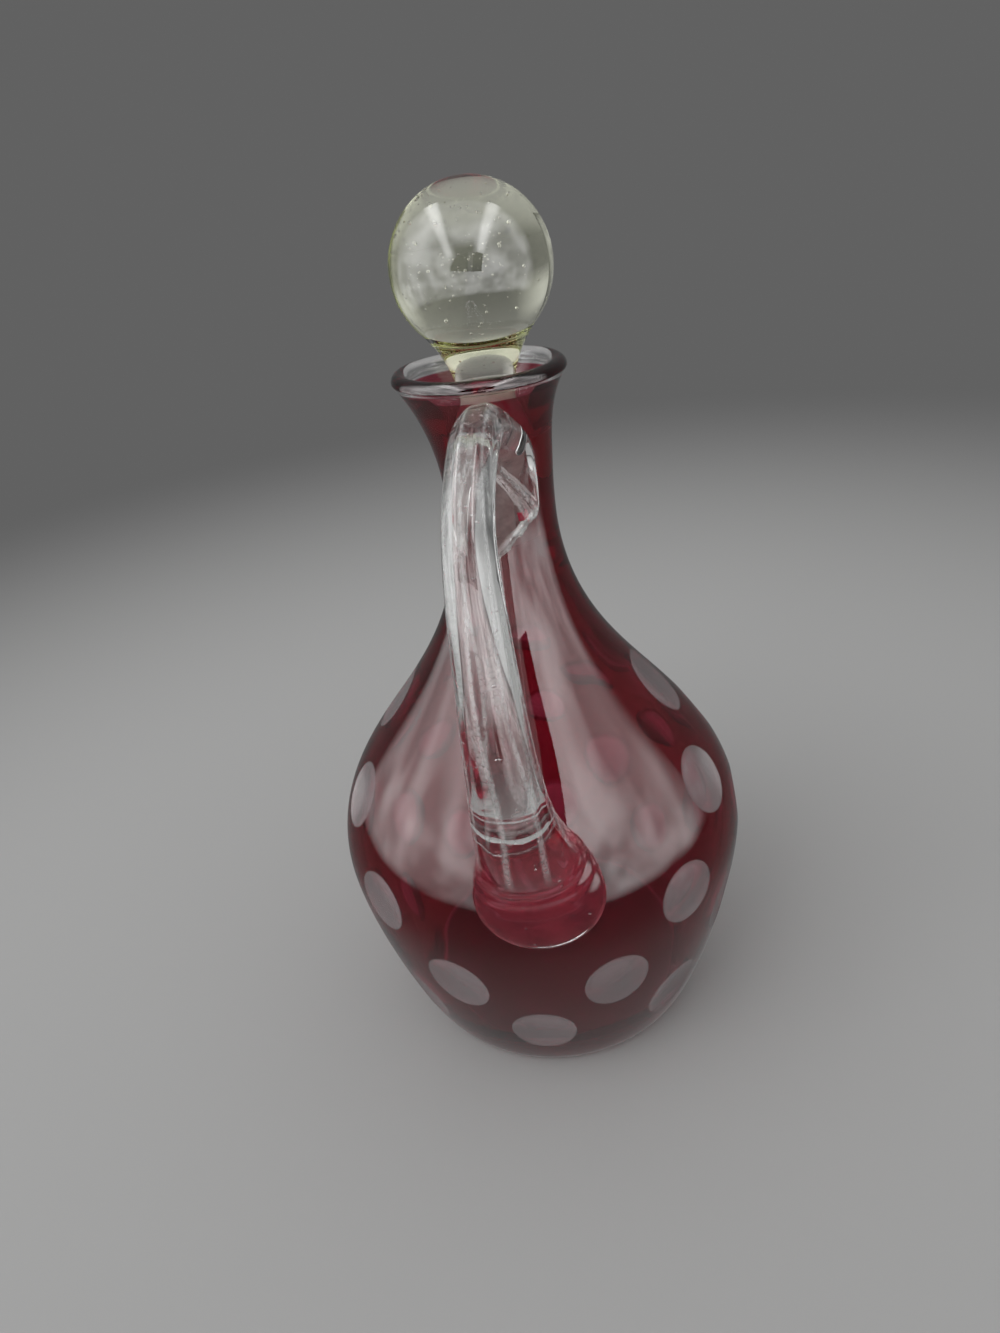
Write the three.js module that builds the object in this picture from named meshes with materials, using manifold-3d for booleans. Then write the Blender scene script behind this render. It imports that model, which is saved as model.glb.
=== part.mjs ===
// Glass cruet: a clear pear-shaped bottle under a ruby overlay that is cut through in round lenses,
// with an applied clear handle and a ball stopper ground into the neck.
// Millimetres, +Z up. The origin is the centre of the flat base, and the handle stands towards -Y.
import * as THREE from "three";
import { mergeVertices } from "three/addons/utils/BufferGeometryUtils.js";
import Module from "manifold-3d";

const wasm = await Module();
wasm.setup();

// Outline of the body, outside the overlay
const BASE_RADIUS = 42;
const BELLY_RADIUS = 59.2;
const BELLY_HEIGHT = 60.5;
const NECK_RADIUS = 13.8;
const NECK_BELOW_RIM = 34.9; // the narrowest place
const LIP_RADIUS = 21.2;
const RIM_HEIGHT = 192.6;
const LIP_SLOPE = 0.7; // radius gained for each millimetre of height at the lip

// How far the outline's curves run straight on where they start and end
const HEEL_FLARE = 4.8; // outwards from the base
const HEEL_RISE = 2.4; // upwards from the base
const BELLY_PULL = 16; // below the belly
const SHOULDER_PULL = 35; // above the belly
const NECK_PULL = 47.2; // below the neck
const FLARE_PULL = 16.2; // above the neck
const LIP_PULL = 8.1; // below the lip
const MOUTH_PULL = 5; // inside the mouth, at both ends

// Glass thicknesses
const OVERLAY_THICKNESS = 0.8;
const WALL_THICKNESS = 4.2; // overlay, gap and clear wall together
const NECK_WALL = 4.1; // the same at the narrowest place, where the stopper's seat is ground
const FLOOR_THICKNESS = 7;
const FLOOR_ROUNDING = 12;
const LIP_THICKNESS = 3.6;

// Ends of the overlay
const OVERLAY_START = 1.5; // above the base
const CLEAR_LIP_HEIGHT = 5; // the polished lip above the overlay

// Lens cuts
const CUT_DIAMETER = 18.5;
const WHEEL_RADIUS = 30; // roundness of the cutting wheel
const CUTS_PER_ROW = 8;
const CUT_ROWS = 5;
const FIRST_ROW_HEIGHT = 22.5;
const ROW_PITCH = 20.4;
const CUTS_TURN = -2; // degrees from the handle to the middle of the pattern
const PLAIN_PANEL_FIRST_ROW = 2; // from this row on a plain panel opens behind the handle

// Ground seat of the stopper in the neck
const SEAT_DEPTH = 15; // below the rim
const SEAT_LENGTH = 27;
const SEAT_TAPER = 0.05; // radius lost for each millimetre of depth
const SEAT_LEAD = 10; // below the seat the bore opens into the body over this height
const SEAT_CLEARANCE = 0.3;

// Stopper
const BALL_RADIUS = 18.8;
const BALL_ABOVE_RIM = 22.8; // centre of the ball
const BALL_LEAVING_ANGLE = 55; // degrees below its equator where the waist's curve leaves the ball
const WAIST_RADIUS = 6.9;
const WAIST_BELOW_RIM = 6;
const WAIST_PULLS = { plug: 3, below: 4, above: 6, ball: 5 };
const PLUG_CHAMFER = 1;

// Handle: a rod drawn from the pad on the belly up over an arch to the folded end on the neck
const ROD_TOP_RADIUS = 5.4;
const ROD_MIDDLE_RADIUS = 6.6;
const ROD_BOTTOM_RADIUS = 8.9;
const ROD_SIDE = -1.8; // how far the rod lies to one side of the handle's plane
const ARCH_BELOW_RIM = 6.2; // top of the rod's centre line
const ARCH_REACH = 38; // from the bottle's axis to that top
const ARCH_START = { share: 0.65, drop: 2 }; // where the arch leaves the neck
const ARCH_BEND = { share: 0.88, drop: 13 }; // where the arch turns down
const HANDLE_REACH = 65; // from the bottle's axis to the rod's outermost centre
const HANDLE_REACH_SHARE = 0.576; // its height between the pad and the arch
const FOOT = { rise: 18.6, standoff: 19.75 }; // above the pad's centre, and off the body's surface
const ROOT = { rise: 11, standoff: 0 }; // where the rod sinks into the pad
const ROOT_END = { rise: 0, standoff: -13.4 }; // its end, inside the body's outline
const ROOT_WIDENING = 0.78; // half width of the rod's root for each millimetre of the pad's
const FOLD_BELOW_RIM = 15; // the folded end, pressed on the neck
const FOLD_LENGTH = 19;
const FOLD_HALF_WIDTH = 6.8;
const FOLD_HALF_THICKNESS = 3.6;
const FOLD_TIP_SHARE = 0.7; // thickness left at the tip
const FOLD_SIDE = 3.6;
const SHEAR_SLOPE = -0.7; // slant of the sheared tip
const PAD_HEIGHT = 77;
const PAD_HALF_WIDTH = 16.5;
const PAD_HALF_LENGTH = 14;
const PAD_THICKNESS = 6;
const PAD_SIDE = 2.4;

const GAP = 0.3; // left between pieces that are fused on the real object

// Facets
const TURN_SEGMENTS = 32;
const STOPPER_SEGMENTS = 24;
const CURVE_STEPS = [6, 8, 4]; // heel, shoulder, flare
const LIP_STEPS = 6;
const MOUTH_STEPS = 5;
const CORNER_STEPS = 3;
const WAIST_STEPS = 4;
const BALL_STEPS = 14;
const ROD_SIDES = 16;
const ROD_STEPS = 28;
const PAD_SEGMENTS = [24, 8];
const CUT_SEGMENTS = 10;
const CUT_RINGS = 2;
const CUTTER_OVERSHOOT = 1.15; // how much wider the cutter is than the cut that it leaves

// Sizes that follow from the ones above
const NECK_HEIGHT = RIM_HEIGHT - NECK_BELOW_RIM;
const LIP_BEAD = LIP_THICKNESS / 2; // radius of the lip's rolled edge
const LIP_EDGE = RIM_HEIGHT - LIP_BEAD; // height at which the outline meets that edge
const OVERLAY_TOP = RIM_HEIGHT - CLEAR_LIP_HEIGHT;
const SEAT_TOP = RIM_HEIGHT - SEAT_DEPTH;
const SEAT_BOTTOM = SEAT_TOP - SEAT_LENGTH;
const SEAT_TOP_RADIUS = NECK_RADIUS - NECK_WALL + SEAT_TAPER * (SEAT_TOP - NECK_HEIGHT);
const SEAT_BOTTOM_RADIUS = SEAT_TOP_RADIUS - SEAT_TAPER * SEAT_LENGTH;

const radians = THREE.MathUtils.degToRad;

// The solid of a closed geometry, for cutting and joining.
function solidOf(geometry) {
  const bare = geometry.clone();
  bare.deleteAttribute("normal");
  bare.deleteAttribute("uv");
  const merged = mergeVertices(bare, 1e-3);
  return new wasm.Manifold(
    new wasm.Mesh({
      numProp: 3,
      vertProperties: new Float32Array(merged.attributes.position.array),
      triVerts: new Uint32Array(merged.index.array),
    }),
  );
}

// The geometry of a solid.
function geometryOf(solid) {
  const mesh = solid.getMesh();
  const geometry = new THREE.BufferGeometry();
  geometry.setAttribute("position", new THREE.BufferAttribute(mesh.vertProperties, 3));
  geometry.setIndex(new THREE.BufferAttribute(mesh.triVerts, 1));
  geometry.computeVertexNormals();
  return geometry;
}

// A point of a turned profile.
function at(radius, height) {
  return new THREE.Vector2(radius, height);
}

// A turned form about the Z axis, from a profile that runs from the foot up its outside.
function turned(profile, segments = TURN_SEGMENTS) {
  return new THREE.LatheGeometry(profile, segments).rotateX(Math.PI / 2);
}

// Three curves make the outline: heel to belly, belly to neck, neck to lip.
function outlineCurves() {
  const heel = new THREE.CubicBezierCurve(
    at(BASE_RADIUS, 0),
    at(BASE_RADIUS + HEEL_FLARE, HEEL_RISE),
    at(BELLY_RADIUS, BELLY_HEIGHT - BELLY_PULL),
    at(BELLY_RADIUS, BELLY_HEIGHT),
  );
  const shoulder = new THREE.CubicBezierCurve(
    at(BELLY_RADIUS, BELLY_HEIGHT),
    at(BELLY_RADIUS, BELLY_HEIGHT + SHOULDER_PULL),
    at(NECK_RADIUS, NECK_HEIGHT - NECK_PULL),
    at(NECK_RADIUS, NECK_HEIGHT),
  );
  const flare = new THREE.CubicBezierCurve(
    at(NECK_RADIUS, NECK_HEIGHT),
    at(NECK_RADIUS, NECK_HEIGHT + FLARE_PULL),
    at(LIP_RADIUS - LIP_SLOPE * LIP_PULL, LIP_EDGE - LIP_PULL),
    at(LIP_RADIUS, LIP_EDGE),
  );
  return [heel, shoulder, flare];
}

// Points of the outline moved inwards by a depth, from the base to the lip.
function outlineInwards(depth) {
  const points = [];
  outlineCurves().forEach((curve, index) => {
    const steps = CURVE_STEPS[index];
    for (let step = index === 0 ? 0 : 1; step <= steps; step += 1) {
      const place = curve.getPoint(step / steps);
      const along = curve.getTangent(step / steps);
      points.push(at(place.x - along.y * depth, place.y + along.x * depth));
    }
  });
  return points;
}

// The radius of a line of rising points at a height.
function radiusAt(points, height) {
  const last = points.length - 1;
  const found = points.findIndex((point) => point.y >= height);
  const index = found < 0 ? last : Math.max(found, 1);
  const [below, above] = [points[index - 1], points[index]];
  return THREE.MathUtils.mapLinear(height, below.y, above.y, below.x, above.x);
}

// The part of a line of rising points between two heights, with a point at each end.
function between(points, low, high) {
  const inside = points.filter((point) => point.y > low && point.y < high);
  return [at(radiusAt(points, low), low), ...inside, at(radiusAt(points, high), high)];
}

// A place on the outline at a height, with its outward normal, turned round the axis from the handle.
function placeOnBody(height, degrees = 0) {
  const outline = outlineInwards(0);
  const slope = radiusAt(outline, height + 0.5) - radiusAt(outline, height - 0.5);
  const axis = new THREE.Vector3(0, 0, 1);
  const point = new THREE.Vector3(0, -radiusAt(outline, height), height);
  const normal = new THREE.Vector3(0, -1, -slope).normalize();
  return {
    point: point.applyAxisAngle(axis, radians(degrees)),
    normal: normal.applyAxisAngle(axis, radians(degrees)),
  };
}

// Turns a form whose axis is +Y to stand on a place of the body.
function standOn({ point, normal }, geometry) {
  const turn = new THREE.Quaternion().setFromUnitVectors(new THREE.Vector3(0, 1, 0), normal);
  return geometry.applyQuaternion(turn).translate(point.x, point.y, point.z);
}

// The places of the lens cuts: each row is staggered by half a step, and the plain panel behind the
// handle widens by half a step on each side with every row.
function cutPlaces() {
  const places = [];
  for (let row = 0; row < CUT_ROWS; row += 1) {
    const stagger = row % 2 === 0 ? 0 : 0.5;
    const panelSteps = (row - PLAIN_PANEL_FIRST_ROW + 1) / 2;
    for (let cut = 0; cut < CUTS_PER_ROW; cut += 1) {
      const steps = cut + stagger - CUTS_PER_ROW / 2;
      if (Math.abs(steps) < panelSteps) continue;
      const degrees = (steps * 360) / CUTS_PER_ROW + CUTS_TURN;
      places.push(placeOnBody(FIRST_ROW_HEIGHT + row * ROW_PITCH, degrees));
    }
  }
  return places;
}

// One cutter: the wheel's round edge, sunk until it leaves a lens of the cut's diameter.
function lensCutter(place) {
  const half = CUT_DIAMETER / 2;
  const depth = ((half * half) / 2) * (1 / WHEEL_RADIUS + 1 / BELLY_RADIUS);
  const reach = half * CUTTER_OVERSHOOT;
  const profile = [];
  for (let ring = 0; ring <= CUT_RINGS; ring += 1) {
    const radius = (reach * ring) / CUT_RINGS;
    const rise = WHEEL_RADIUS - Math.sqrt(WHEEL_RADIUS ** 2 - radius ** 2);
    profile.push(at(radius, rise - depth));
  }
  profile.push(at(reach, half), at(0, half));
  return solidOf(standOn(place, new THREE.LatheGeometry(profile, CUT_SEGMENTS)));
}

// Takes every lens cut out of a solid.
function withLensCuts(solid) {
  return cutPlaces().reduce((left, place) => left.subtract(lensCutter(place)), solid);
}

// The inside of the bottle from the lip down to the floor.
function insideProfile() {
  const inside = LIP_RADIUS - LIP_THICKNESS;
  const mouth = new THREE.CubicBezierCurve(
    at(inside, LIP_EDGE),
    at(inside - LIP_SLOPE * MOUTH_PULL, LIP_EDGE - MOUTH_PULL),
    at(SEAT_TOP_RADIUS, SEAT_TOP + MOUTH_PULL),
    at(SEAT_TOP_RADIUS, SEAT_TOP),
  );
  const cornerTop = FLOOR_THICKNESS + FLOOR_ROUNDING;
  const wall = between(outlineInwards(WALL_THICKNESS), cornerTop, SEAT_BOTTOM - SEAT_LEAD);
  const corner = new THREE.QuadraticBezierCurve(
    wall[0],
    at(wall[0].x - FLOOR_ROUNDING / 4, FLOOR_THICKNESS),
    at(wall[0].x - FLOOR_ROUNDING * 1.25, FLOOR_THICKNESS),
  );
  return [
    ...mouth.getPoints(MOUTH_STEPS),
    at(SEAT_BOTTOM_RADIUS, SEAT_BOTTOM),
    ...wall.reverse(),
    ...corner.getPoints(CORNER_STEPS).slice(1),
    at(0, FLOOR_THICKNESS),
  ];
}

// The clear bottle: flat base, wall under the overlay, full-width polished lip, hollow inside.
function makeBottle() {
  const under = between(outlineInwards(OVERLAY_THICKNESS + GAP), 0, OVERLAY_TOP + GAP);
  const lip = between(outlineInwards(0), OVERLAY_TOP + GAP, LIP_EDGE);
  const bead = new THREE.EllipseCurve(LIP_RADIUS - LIP_BEAD, LIP_EDGE, LIP_BEAD, LIP_BEAD, 0, Math.PI);
  const profile = [
    at(0, 0),
    ...under,
    ...lip,
    ...bead.getPoints(LIP_STEPS).slice(1, -1),
    ...insideProfile(),
  ];
  return geometryOf(withLensCuts(solidOf(turned(profile))));
}

// The ruby overlay: a thin skin on the bottle from just above the base to just under the lip.
function makeOverlay() {
  const outside = between(outlineInwards(0), OVERLAY_START, OVERLAY_TOP);
  const inside = between(outlineInwards(OVERLAY_THICKNESS), OVERLAY_START, OVERLAY_TOP);
  const profile = [...outside, ...inside.reverse(), outside[0]];
  return geometryOf(withLensCuts(solidOf(turned(profile))));
}

// The stopper's neck, from the top of the plug through the waist to where it meets the ball.
function waistProfile(ballHeight, leavingAngle) {
  const waistHeight = RIM_HEIGHT - WAIST_BELOW_RIM;
  const plugRadius = SEAT_TOP_RADIUS - SEAT_CLEARANCE;
  const [x, y] = [Math.cos(leavingAngle), Math.sin(leavingAngle)];
  const onBall = at(BALL_RADIUS * x, ballHeight + BALL_RADIUS * y);
  const below = new THREE.CubicBezierCurve(
    at(plugRadius, SEAT_TOP),
    at(plugRadius, SEAT_TOP + WAIST_PULLS.plug),
    at(WAIST_RADIUS, waistHeight - WAIST_PULLS.below),
    at(WAIST_RADIUS, waistHeight),
  );
  const above = new THREE.CubicBezierCurve(
    at(WAIST_RADIUS, waistHeight),
    at(WAIST_RADIUS, waistHeight + WAIST_PULLS.above),
    at(onBall.x + y * WAIST_PULLS.ball, onBall.y - x * WAIST_PULLS.ball),
    onBall,
  );
  return [...below.getPoints(WAIST_STEPS), ...above.getPoints(WAIST_STEPS).slice(1)];
}

// The stopper: a solid ball drawn down to a waist, and a plug ground to fit the seat.
function makeStopper() {
  const ballHeight = RIM_HEIGHT + BALL_ABOVE_RIM;
  const leavingAngle = radians(-BALL_LEAVING_ANGLE);
  const footRadius = SEAT_BOTTOM_RADIUS - SEAT_CLEARANCE;
  const ball = new THREE.EllipseCurve(0, ballHeight, BALL_RADIUS, BALL_RADIUS, leavingAngle, Math.PI / 2);
  const profile = [
    at(0, SEAT_BOTTOM),
    at(footRadius - PLUG_CHAMFER, SEAT_BOTTOM),
    at(footRadius, SEAT_BOTTOM + PLUG_CHAMFER),
    ...waistProfile(ballHeight, leavingAngle),
    ...ball.getPoints(BALL_STEPS).slice(1, -1),
    at(0, ballHeight + BALL_RADIUS),
  ];
  return turned(profile, STOPPER_SEGMENTS);
}

// The space that the body fills, grown by the gap, for seating the handle on it.
function bodySpace() {
  const outside = between(outlineInwards(-GAP), 0, RIM_HEIGHT);
  return solidOf(turned([at(0, 0), ...outside, at(0, RIM_HEIGHT)]));
}

// One station of the handle: the centre of its ring, and the ring's half width, half thickness and
// slant across its width.
function station(side, reach, height, [width, thickness, slant = 0]) {
  return {
    centre: new THREE.Vector3(side, -reach, height),
    section: new THREE.Vector3(width, thickness, slant),
  };
}

// A station at a height above the pad's centre, and at a distance off the body's surface there.
function stationOffBody(side, { rise, standoff }, section) {
  const { point, normal } = placeOnBody(PAD_HEIGHT + rise);
  const centre = point.addScaledVector(normal, standoff);
  return station(side, -centre.y, centre.z, section);
}

// The folded end, pressed down on the neck: its sheared tip, and the bend into the arch.
function foldStations() {
  const outline = outlineInwards(0);
  const top = RIM_HEIGHT - FOLD_BELOW_RIM;
  const tip = top - FOLD_LENGTH;
  const onNeck = (height) => radiusAt(outline, height) + FOLD_HALF_THICKNESS / 2;
  const tipSection = [FOLD_HALF_WIDTH, FOLD_HALF_THICKNESS * FOLD_TIP_SHARE, SHEAR_SLOPE];
  return [
    station(FOLD_SIDE, onNeck(tip), tip, tipSection),
    station(FOLD_SIDE, onNeck(top), top, [FOLD_HALF_WIDTH, FOLD_HALF_THICKNESS]),
  ];
}

// The arch, from the neck over its top to the rod's outermost place.
function archStations() {
  const top = RIM_HEIGHT - ARCH_BELOW_RIM;
  const thin = [ROD_TOP_RADIUS, ROD_TOP_RADIUS];
  const middle = [ROD_MIDDLE_RADIUS, ROD_MIDDLE_RADIUS];
  const reachHeight = THREE.MathUtils.lerp(PAD_HEIGHT, top, HANDLE_REACH_SHARE);
  return [
    station(FOLD_SIDE / 2, ARCH_REACH * ARCH_START.share, top - ARCH_START.drop, thin),
    station(0, ARCH_REACH, top, thin),
    station(ROD_SIDE, HANDLE_REACH * ARCH_BEND.share, top - ARCH_BEND.drop, thin),
    station(ROD_SIDE, HANDLE_REACH, reachHeight, middle),
  ];
}

// The rod's foot, which comes in to the pad and sinks into it.
function footStations() {
  const rootWidth = PAD_HALF_WIDTH * ROOT_WIDENING;
  return [
    stationOffBody(ROD_SIDE, FOOT, [ROD_BOTTOM_RADIUS, ROD_BOTTOM_RADIUS]),
    stationOffBody(PAD_SIDE / 2, ROOT, [rootWidth, ROD_BOTTOM_RADIUS]),
    stationOffBody(PAD_SIDE, ROOT_END, [rootWidth, PAD_THICKNESS]),
  ];
}

// The points of one ring of the handle, at a share of the way from the tip of the fold to the root.
function handleRing(centres, sections, share) {
  const along = centres.getTangent(share);
  const side = new THREE.Vector3(1, 0, 0);
  const out = new THREE.Vector3().crossVectors(along, side).normalize();
  const { x: width, y: thickness, z: slant } = sections.getPoint(share);
  return Array.from({ length: ROD_SIDES }, (_, corner) => {
    const angle = (2 * Math.PI * corner) / ROD_SIDES;
    const across = width * Math.cos(angle);
    const point = centres.getPoint(share).addScaledVector(side, across);
    point.addScaledVector(out, thickness * Math.sin(angle));
    return point.addScaledVector(along, -across * slant);
  });
}

// A closed loft of rings along the handle's centre line.
function handleRod() {
  const stations = [...foldStations(), ...archStations(), ...footStations()];
  const centres = new THREE.CatmullRomCurve3(stations.map(({ centre }) => centre));
  const sections = new THREE.CatmullRomCurve3(stations.map(({ section }) => section));
  const points = [];
  for (let step = 0; step <= ROD_STEPS; step += 1) {
    points.push(...handleRing(centres, sections, step / ROD_STEPS));
  }
  const [tip, root] = [points.length, points.length + 1];
  points.push(centres.getPoint(0), centres.getPoint(1));
  const lastRing = ROD_STEPS * ROD_SIDES;
  const faces = [];
  for (let corner = 0; corner < ROD_SIDES; corner += 1) {
    const next = (corner + 1) % ROD_SIDES;
    for (let ring = 0; ring < lastRing; ring += ROD_SIDES) {
      const [a, b] = [ring + corner, ring + next];
      faces.push(a, b, b + ROD_SIDES, a, b + ROD_SIDES, a + ROD_SIDES);
    }
    faces.push(tip, next, corner, root, lastRing + corner, lastRing + next);
  }
  return new THREE.BufferGeometry().setFromPoints(points).setIndex(faces);
}

// The pad: the flattened gather that fixes the handle's foot to the body.
function handlePad() {
  const pad = new THREE.SphereGeometry(1, ...PAD_SEGMENTS);
  pad.scale(PAD_HALF_WIDTH, PAD_THICKNESS, PAD_HALF_LENGTH);
  return standOn(placeOnBody(PAD_HEIGHT), pad).translate(PAD_SIDE, 0, 0);
}

// The handle: rod, folded end and pad in one piece of glass, seated on the body.
function makeHandle() {
  const joined = solidOf(handleRod()).add(solidOf(handlePad()));
  return geometryOf(joined.subtract(bodySpace()));
}

function glass(color, opacity) {
  return new THREE.MeshStandardMaterial({
    color,
    roughness: 0.05,
    metalness: 0,
    transparent: true,
    opacity,
  });
}

function piece(name, geometry, material) {
  const mesh = new THREE.Mesh(geometry, material);
  mesh.name = name;
  return mesh;
}

const cruet = new THREE.Group();
cruet.add(
  piece("bottle", makeBottle(), glass(0xe8dcdc, 0.35)),
  piece("ruby_overlay", makeOverlay(), glass(0x7a0f22, 0.75)),
  piece("handle", makeHandle(), glass(0xe6ebe4, 0.35)),
  piece("stopper", makeStopper(), glass(0xf0f0dc, 0.35)),
);

export default cruet;
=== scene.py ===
"""Looks of a ruby overlay cruet: clear bottle, ruby skin, applied handle and ball stopper.

Shape functions work in millimetres, and new_mesh turns them into metres. All glass that is one on the real
cruet is one to the light as well: the ruby skin lies just under the clear bottle's outer surface and takes
off light by the length of its way through it, and the faces where handle and bottle meet let it pass. The
ruby's faces and the faces under the pad also carry a faint diffuse red, a painted glow that stands in for
light gathered inside the glass.
"""

import math

import bmesh
import bpy
import numpy as np
from bpy.props import FloatProperty, FloatVectorProperty, IntProperty, PointerProperty
from mathutils import Matrix, Vector


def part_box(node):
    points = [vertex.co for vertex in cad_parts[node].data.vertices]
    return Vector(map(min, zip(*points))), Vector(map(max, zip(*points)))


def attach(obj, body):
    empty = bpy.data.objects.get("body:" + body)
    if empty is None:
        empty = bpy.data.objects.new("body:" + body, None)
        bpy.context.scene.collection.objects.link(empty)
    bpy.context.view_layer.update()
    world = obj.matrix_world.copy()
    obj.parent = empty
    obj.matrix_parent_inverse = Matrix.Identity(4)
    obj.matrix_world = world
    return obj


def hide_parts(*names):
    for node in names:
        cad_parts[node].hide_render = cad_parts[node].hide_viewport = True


bl_info = {
    "name": "Ruby Overlay Cruet",
    "version": (1, 0, 0),
    "blender": (4, 5, 0),
    "location": "3D View > Sidebar > Cruet",
    "description": "Makes a cased glass cruet with lens cuts, an applied handle and a ball stopper",
    "category": "Add Mesh",
}

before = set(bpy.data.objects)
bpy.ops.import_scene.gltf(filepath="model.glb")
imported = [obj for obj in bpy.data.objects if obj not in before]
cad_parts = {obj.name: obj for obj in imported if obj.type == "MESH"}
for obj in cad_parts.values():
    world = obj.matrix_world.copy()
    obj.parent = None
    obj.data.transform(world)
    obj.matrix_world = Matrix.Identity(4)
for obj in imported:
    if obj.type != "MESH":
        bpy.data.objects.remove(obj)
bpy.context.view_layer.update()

MM = 0.001
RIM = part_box("bottle")[1][2]
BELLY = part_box("ruby_overlay")[1][0]
BALL_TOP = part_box("stopper")[1][2]

# A length in millimetres below which two places count as one, and the least divisor
NEAR = 1e-3
TINY = 1e-6

# Names that more than one step uses
FUSED = "fused_glass"
RAW_HANDLE = "raw_handle"
TRAPPED_AIR = "trapped_air"

# Depths under the bottle's outer surface, in millimetres, in the order in which light meets them
HANDLE_DEPTH = 0.02
RECESS_DEPTH = 0.03
RUBY_DEPTH = 0.06


def length(name, description, default):
    """A size in metres that the sidebar shows."""
    return FloatProperty(name=name, description=description, default=default, unit="LENGTH", precision=5)


def colour(name, description, default):
    """A colour that the sidebar shows."""
    return FloatVectorProperty(
        name=name, description=description, default=default, size=3, min=0, max=1, subtype="COLOR"
    )


def rotation(name, description, degrees):
    """An angle that the sidebar shows."""
    return FloatProperty(name=name, description=description, default=math.radians(degrees), unit="ROTATION")


class CruetBody(bpy.types.PropertyGroup):
    """Sizes of the turned body and of its wall."""

    base_radius: length("Base radius", "Radius of the flat base", 0.042)
    belly_radius: length("Belly radius", "Widest radius", BELLY)
    belly_height: length("Belly height", "Height of the widest place", 0.0605)
    neck_radius: length("Neck radius", "Narrowest radius", 0.0138)
    neck_below_rim: length("Neck below rim", "Depth of the narrowest place under the rim", 0.0349)
    lip_radius: length("Lip radius", "Radius of the flared lip", 0.0212)
    rim_height: length("Rim height", "Height of the rim", RIM)
    wall: length("Wall", "Thickness of the whole wall", 0.0042)
    neck_wall: length("Neck wall", "Thickness of the wall at the narrowest place", 0.0041)
    lip_thickness: length("Lip thickness", "Thickness of the rolled lip", 0.0044)
    floor: length("Floor", "Thickness of the floor", 0.007)
    overlay: length("Overlay", "Thickness of the ruby skin", 0.0008)
    overlay_start: length("Overlay start", "Height at which the ruby begins", 0.0015)
    clear_lip: length("Clear lip", "Height of the clear lip above the ruby", 0.005)
    seat_depth: length("Seat depth", "Top of the stopper's ground seat under the rim", 0.015)
    seat_length: length("Seat length", "Length of the stopper's ground seat", 0.027)


class CruetCuts(bpy.types.PropertyGroup):
    """Sizes and counts of the lens cuts."""

    diameter: length("Diameter", "Width of one lens", 0.0185)
    wheel: length("Wheel", "Roundness of the cutting wheel", 0.030)
    first_row: length("First row", "Height of the lowest row", 0.0225)
    pitch: length("Row pitch", "Height from row to row", 0.0204)
    rows: IntProperty(name="Rows", description="Number of rows", default=5, min=1)
    per_row: IntProperty(name="Per row", description="Lenses in a full row", default=8, min=3)


class CruetHandle(bpy.types.PropertyGroup):
    """Sizes of the applied handle."""

    top_radius: length("Top radius", "Radius of the rod at the arch", 0.0054)
    middle_radius: length("Middle radius", "Radius of the rod half way down", 0.0071)
    bottom_radius: length("Bottom radius", "Radius of the rod at its foot", 0.0098)
    reach: length("Reach", "From the bottle's axis to the rod's outermost centre", 0.065)
    arch_below_rim: length("Arch below rim", "Top of the rod's centre line under the rim", 0.0062)
    pad_height: length("Pad height", "Height of the pad's centre", 0.077)
    pad_half_width: length("Pad half width", "Half width of the pad", 0.0165)
    pad_half_length: length("Pad half length", "Half length of the pad", 0.014)
    pad_thickness: length("Pad thickness", "Rise of the pad above the body", 0.006)


class CruetStopper(bpy.types.PropertyGroup):
    """Sizes of the ball stopper."""

    ball_radius: length("Ball radius", "Radius of the ball", 0.0188)
    waist_radius: length("Waist radius", "Narrowest radius between plug and ball", 0.0069)
    waist_below_rim: length("Waist below rim", "Height of the waist under the rim", 0.006)
    clearance: length("Clearance", "Gap between the plug and its seat", 0.0003)


class CruetGlass(bpy.types.PropertyGroup):
    """Colours of the glasses."""

    clear: colour("Clear glass", "Tint of the clear glass", (0.98, 0.975, 0.97))
    ruby: colour("Ruby", "Light that one millimetre of the ruby lets through", (0.47, 0.028, 0.07))
    # The lens cuts are ground matt glass; their pink is painted, standing in for the red light from inside
    # the ruby
    lens: colour("Lens cut", "Tint of the ground lens cuts", (0.86, 0.77, 0.79))
    handle: colour("Handle glass", "Tint of the handle", (0.97, 0.98, 0.97))
    # The glow is a painted glow: diffuse red on the ruby's faces, standing in for light reflected inside the
    # glass
    glow: colour("Glow", "Colour of the faint cloudiness of the ruby", (0.50, 0.03, 0.07))
    fold: colour("Fold", "Cloudy grey between the handle's fold and the neck", (0.40, 0.31, 0.30))
    # The raspberry is a painted glow: diffuse colour standing in for light that the pad gathers into the ruby
    raspberry: colour("Raspberry", "Glow of the ruby under the pad", (0.52, 0.05, 0.08))
    stopper: colour("Stopper glass", "Light that one centimetre of it lets through", (0.972, 0.976, 0.93))


class CruetStage(bpy.types.PropertyGroup):
    """The camera and the room."""

    camera: FloatVectorProperty(
        name="Camera", description="Place of the camera", default=(0.02214, -0.22994, 0.23904), size=3,
        unit="LENGTH",
    )
    heading: rotation("Heading", "Turn from +Y", 7.03)
    tilt: rotation("Tilt", "Turn up from looking straight down", 61.12)
    roll: rotation("Roll", "Turn about the line of sight", -8.02)
    lens: FloatProperty(name="Lens", description="Focal length in millimetres", default=25.39)
    pale: FloatProperty(name="Backdrop", description="Brightness of the backdrop", default=0.12)


# Curves and turned forms


def bezier(ends, steps):
    """Points and slopes of a cubic Bezier curve through its four control points."""
    a, b, c, d = (np.array(p, float) for p in ends)
    t = np.linspace(0, 1, steps + 1)[:, None]
    s = 1 - t
    points = s**3 * a + 3 * s * s * t * b + 3 * s * t * t * c + t**3 * d
    slopes = 3 * s * s * (b - a) + 6 * s * t * (c - b) + 3 * t * t * (d - c)
    return points, slopes


def unit(vectors):
    """Vectors of length one."""
    return vectors / np.maximum(np.linalg.norm(vectors, axis=-1, keepdims=True), TINY)


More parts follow.
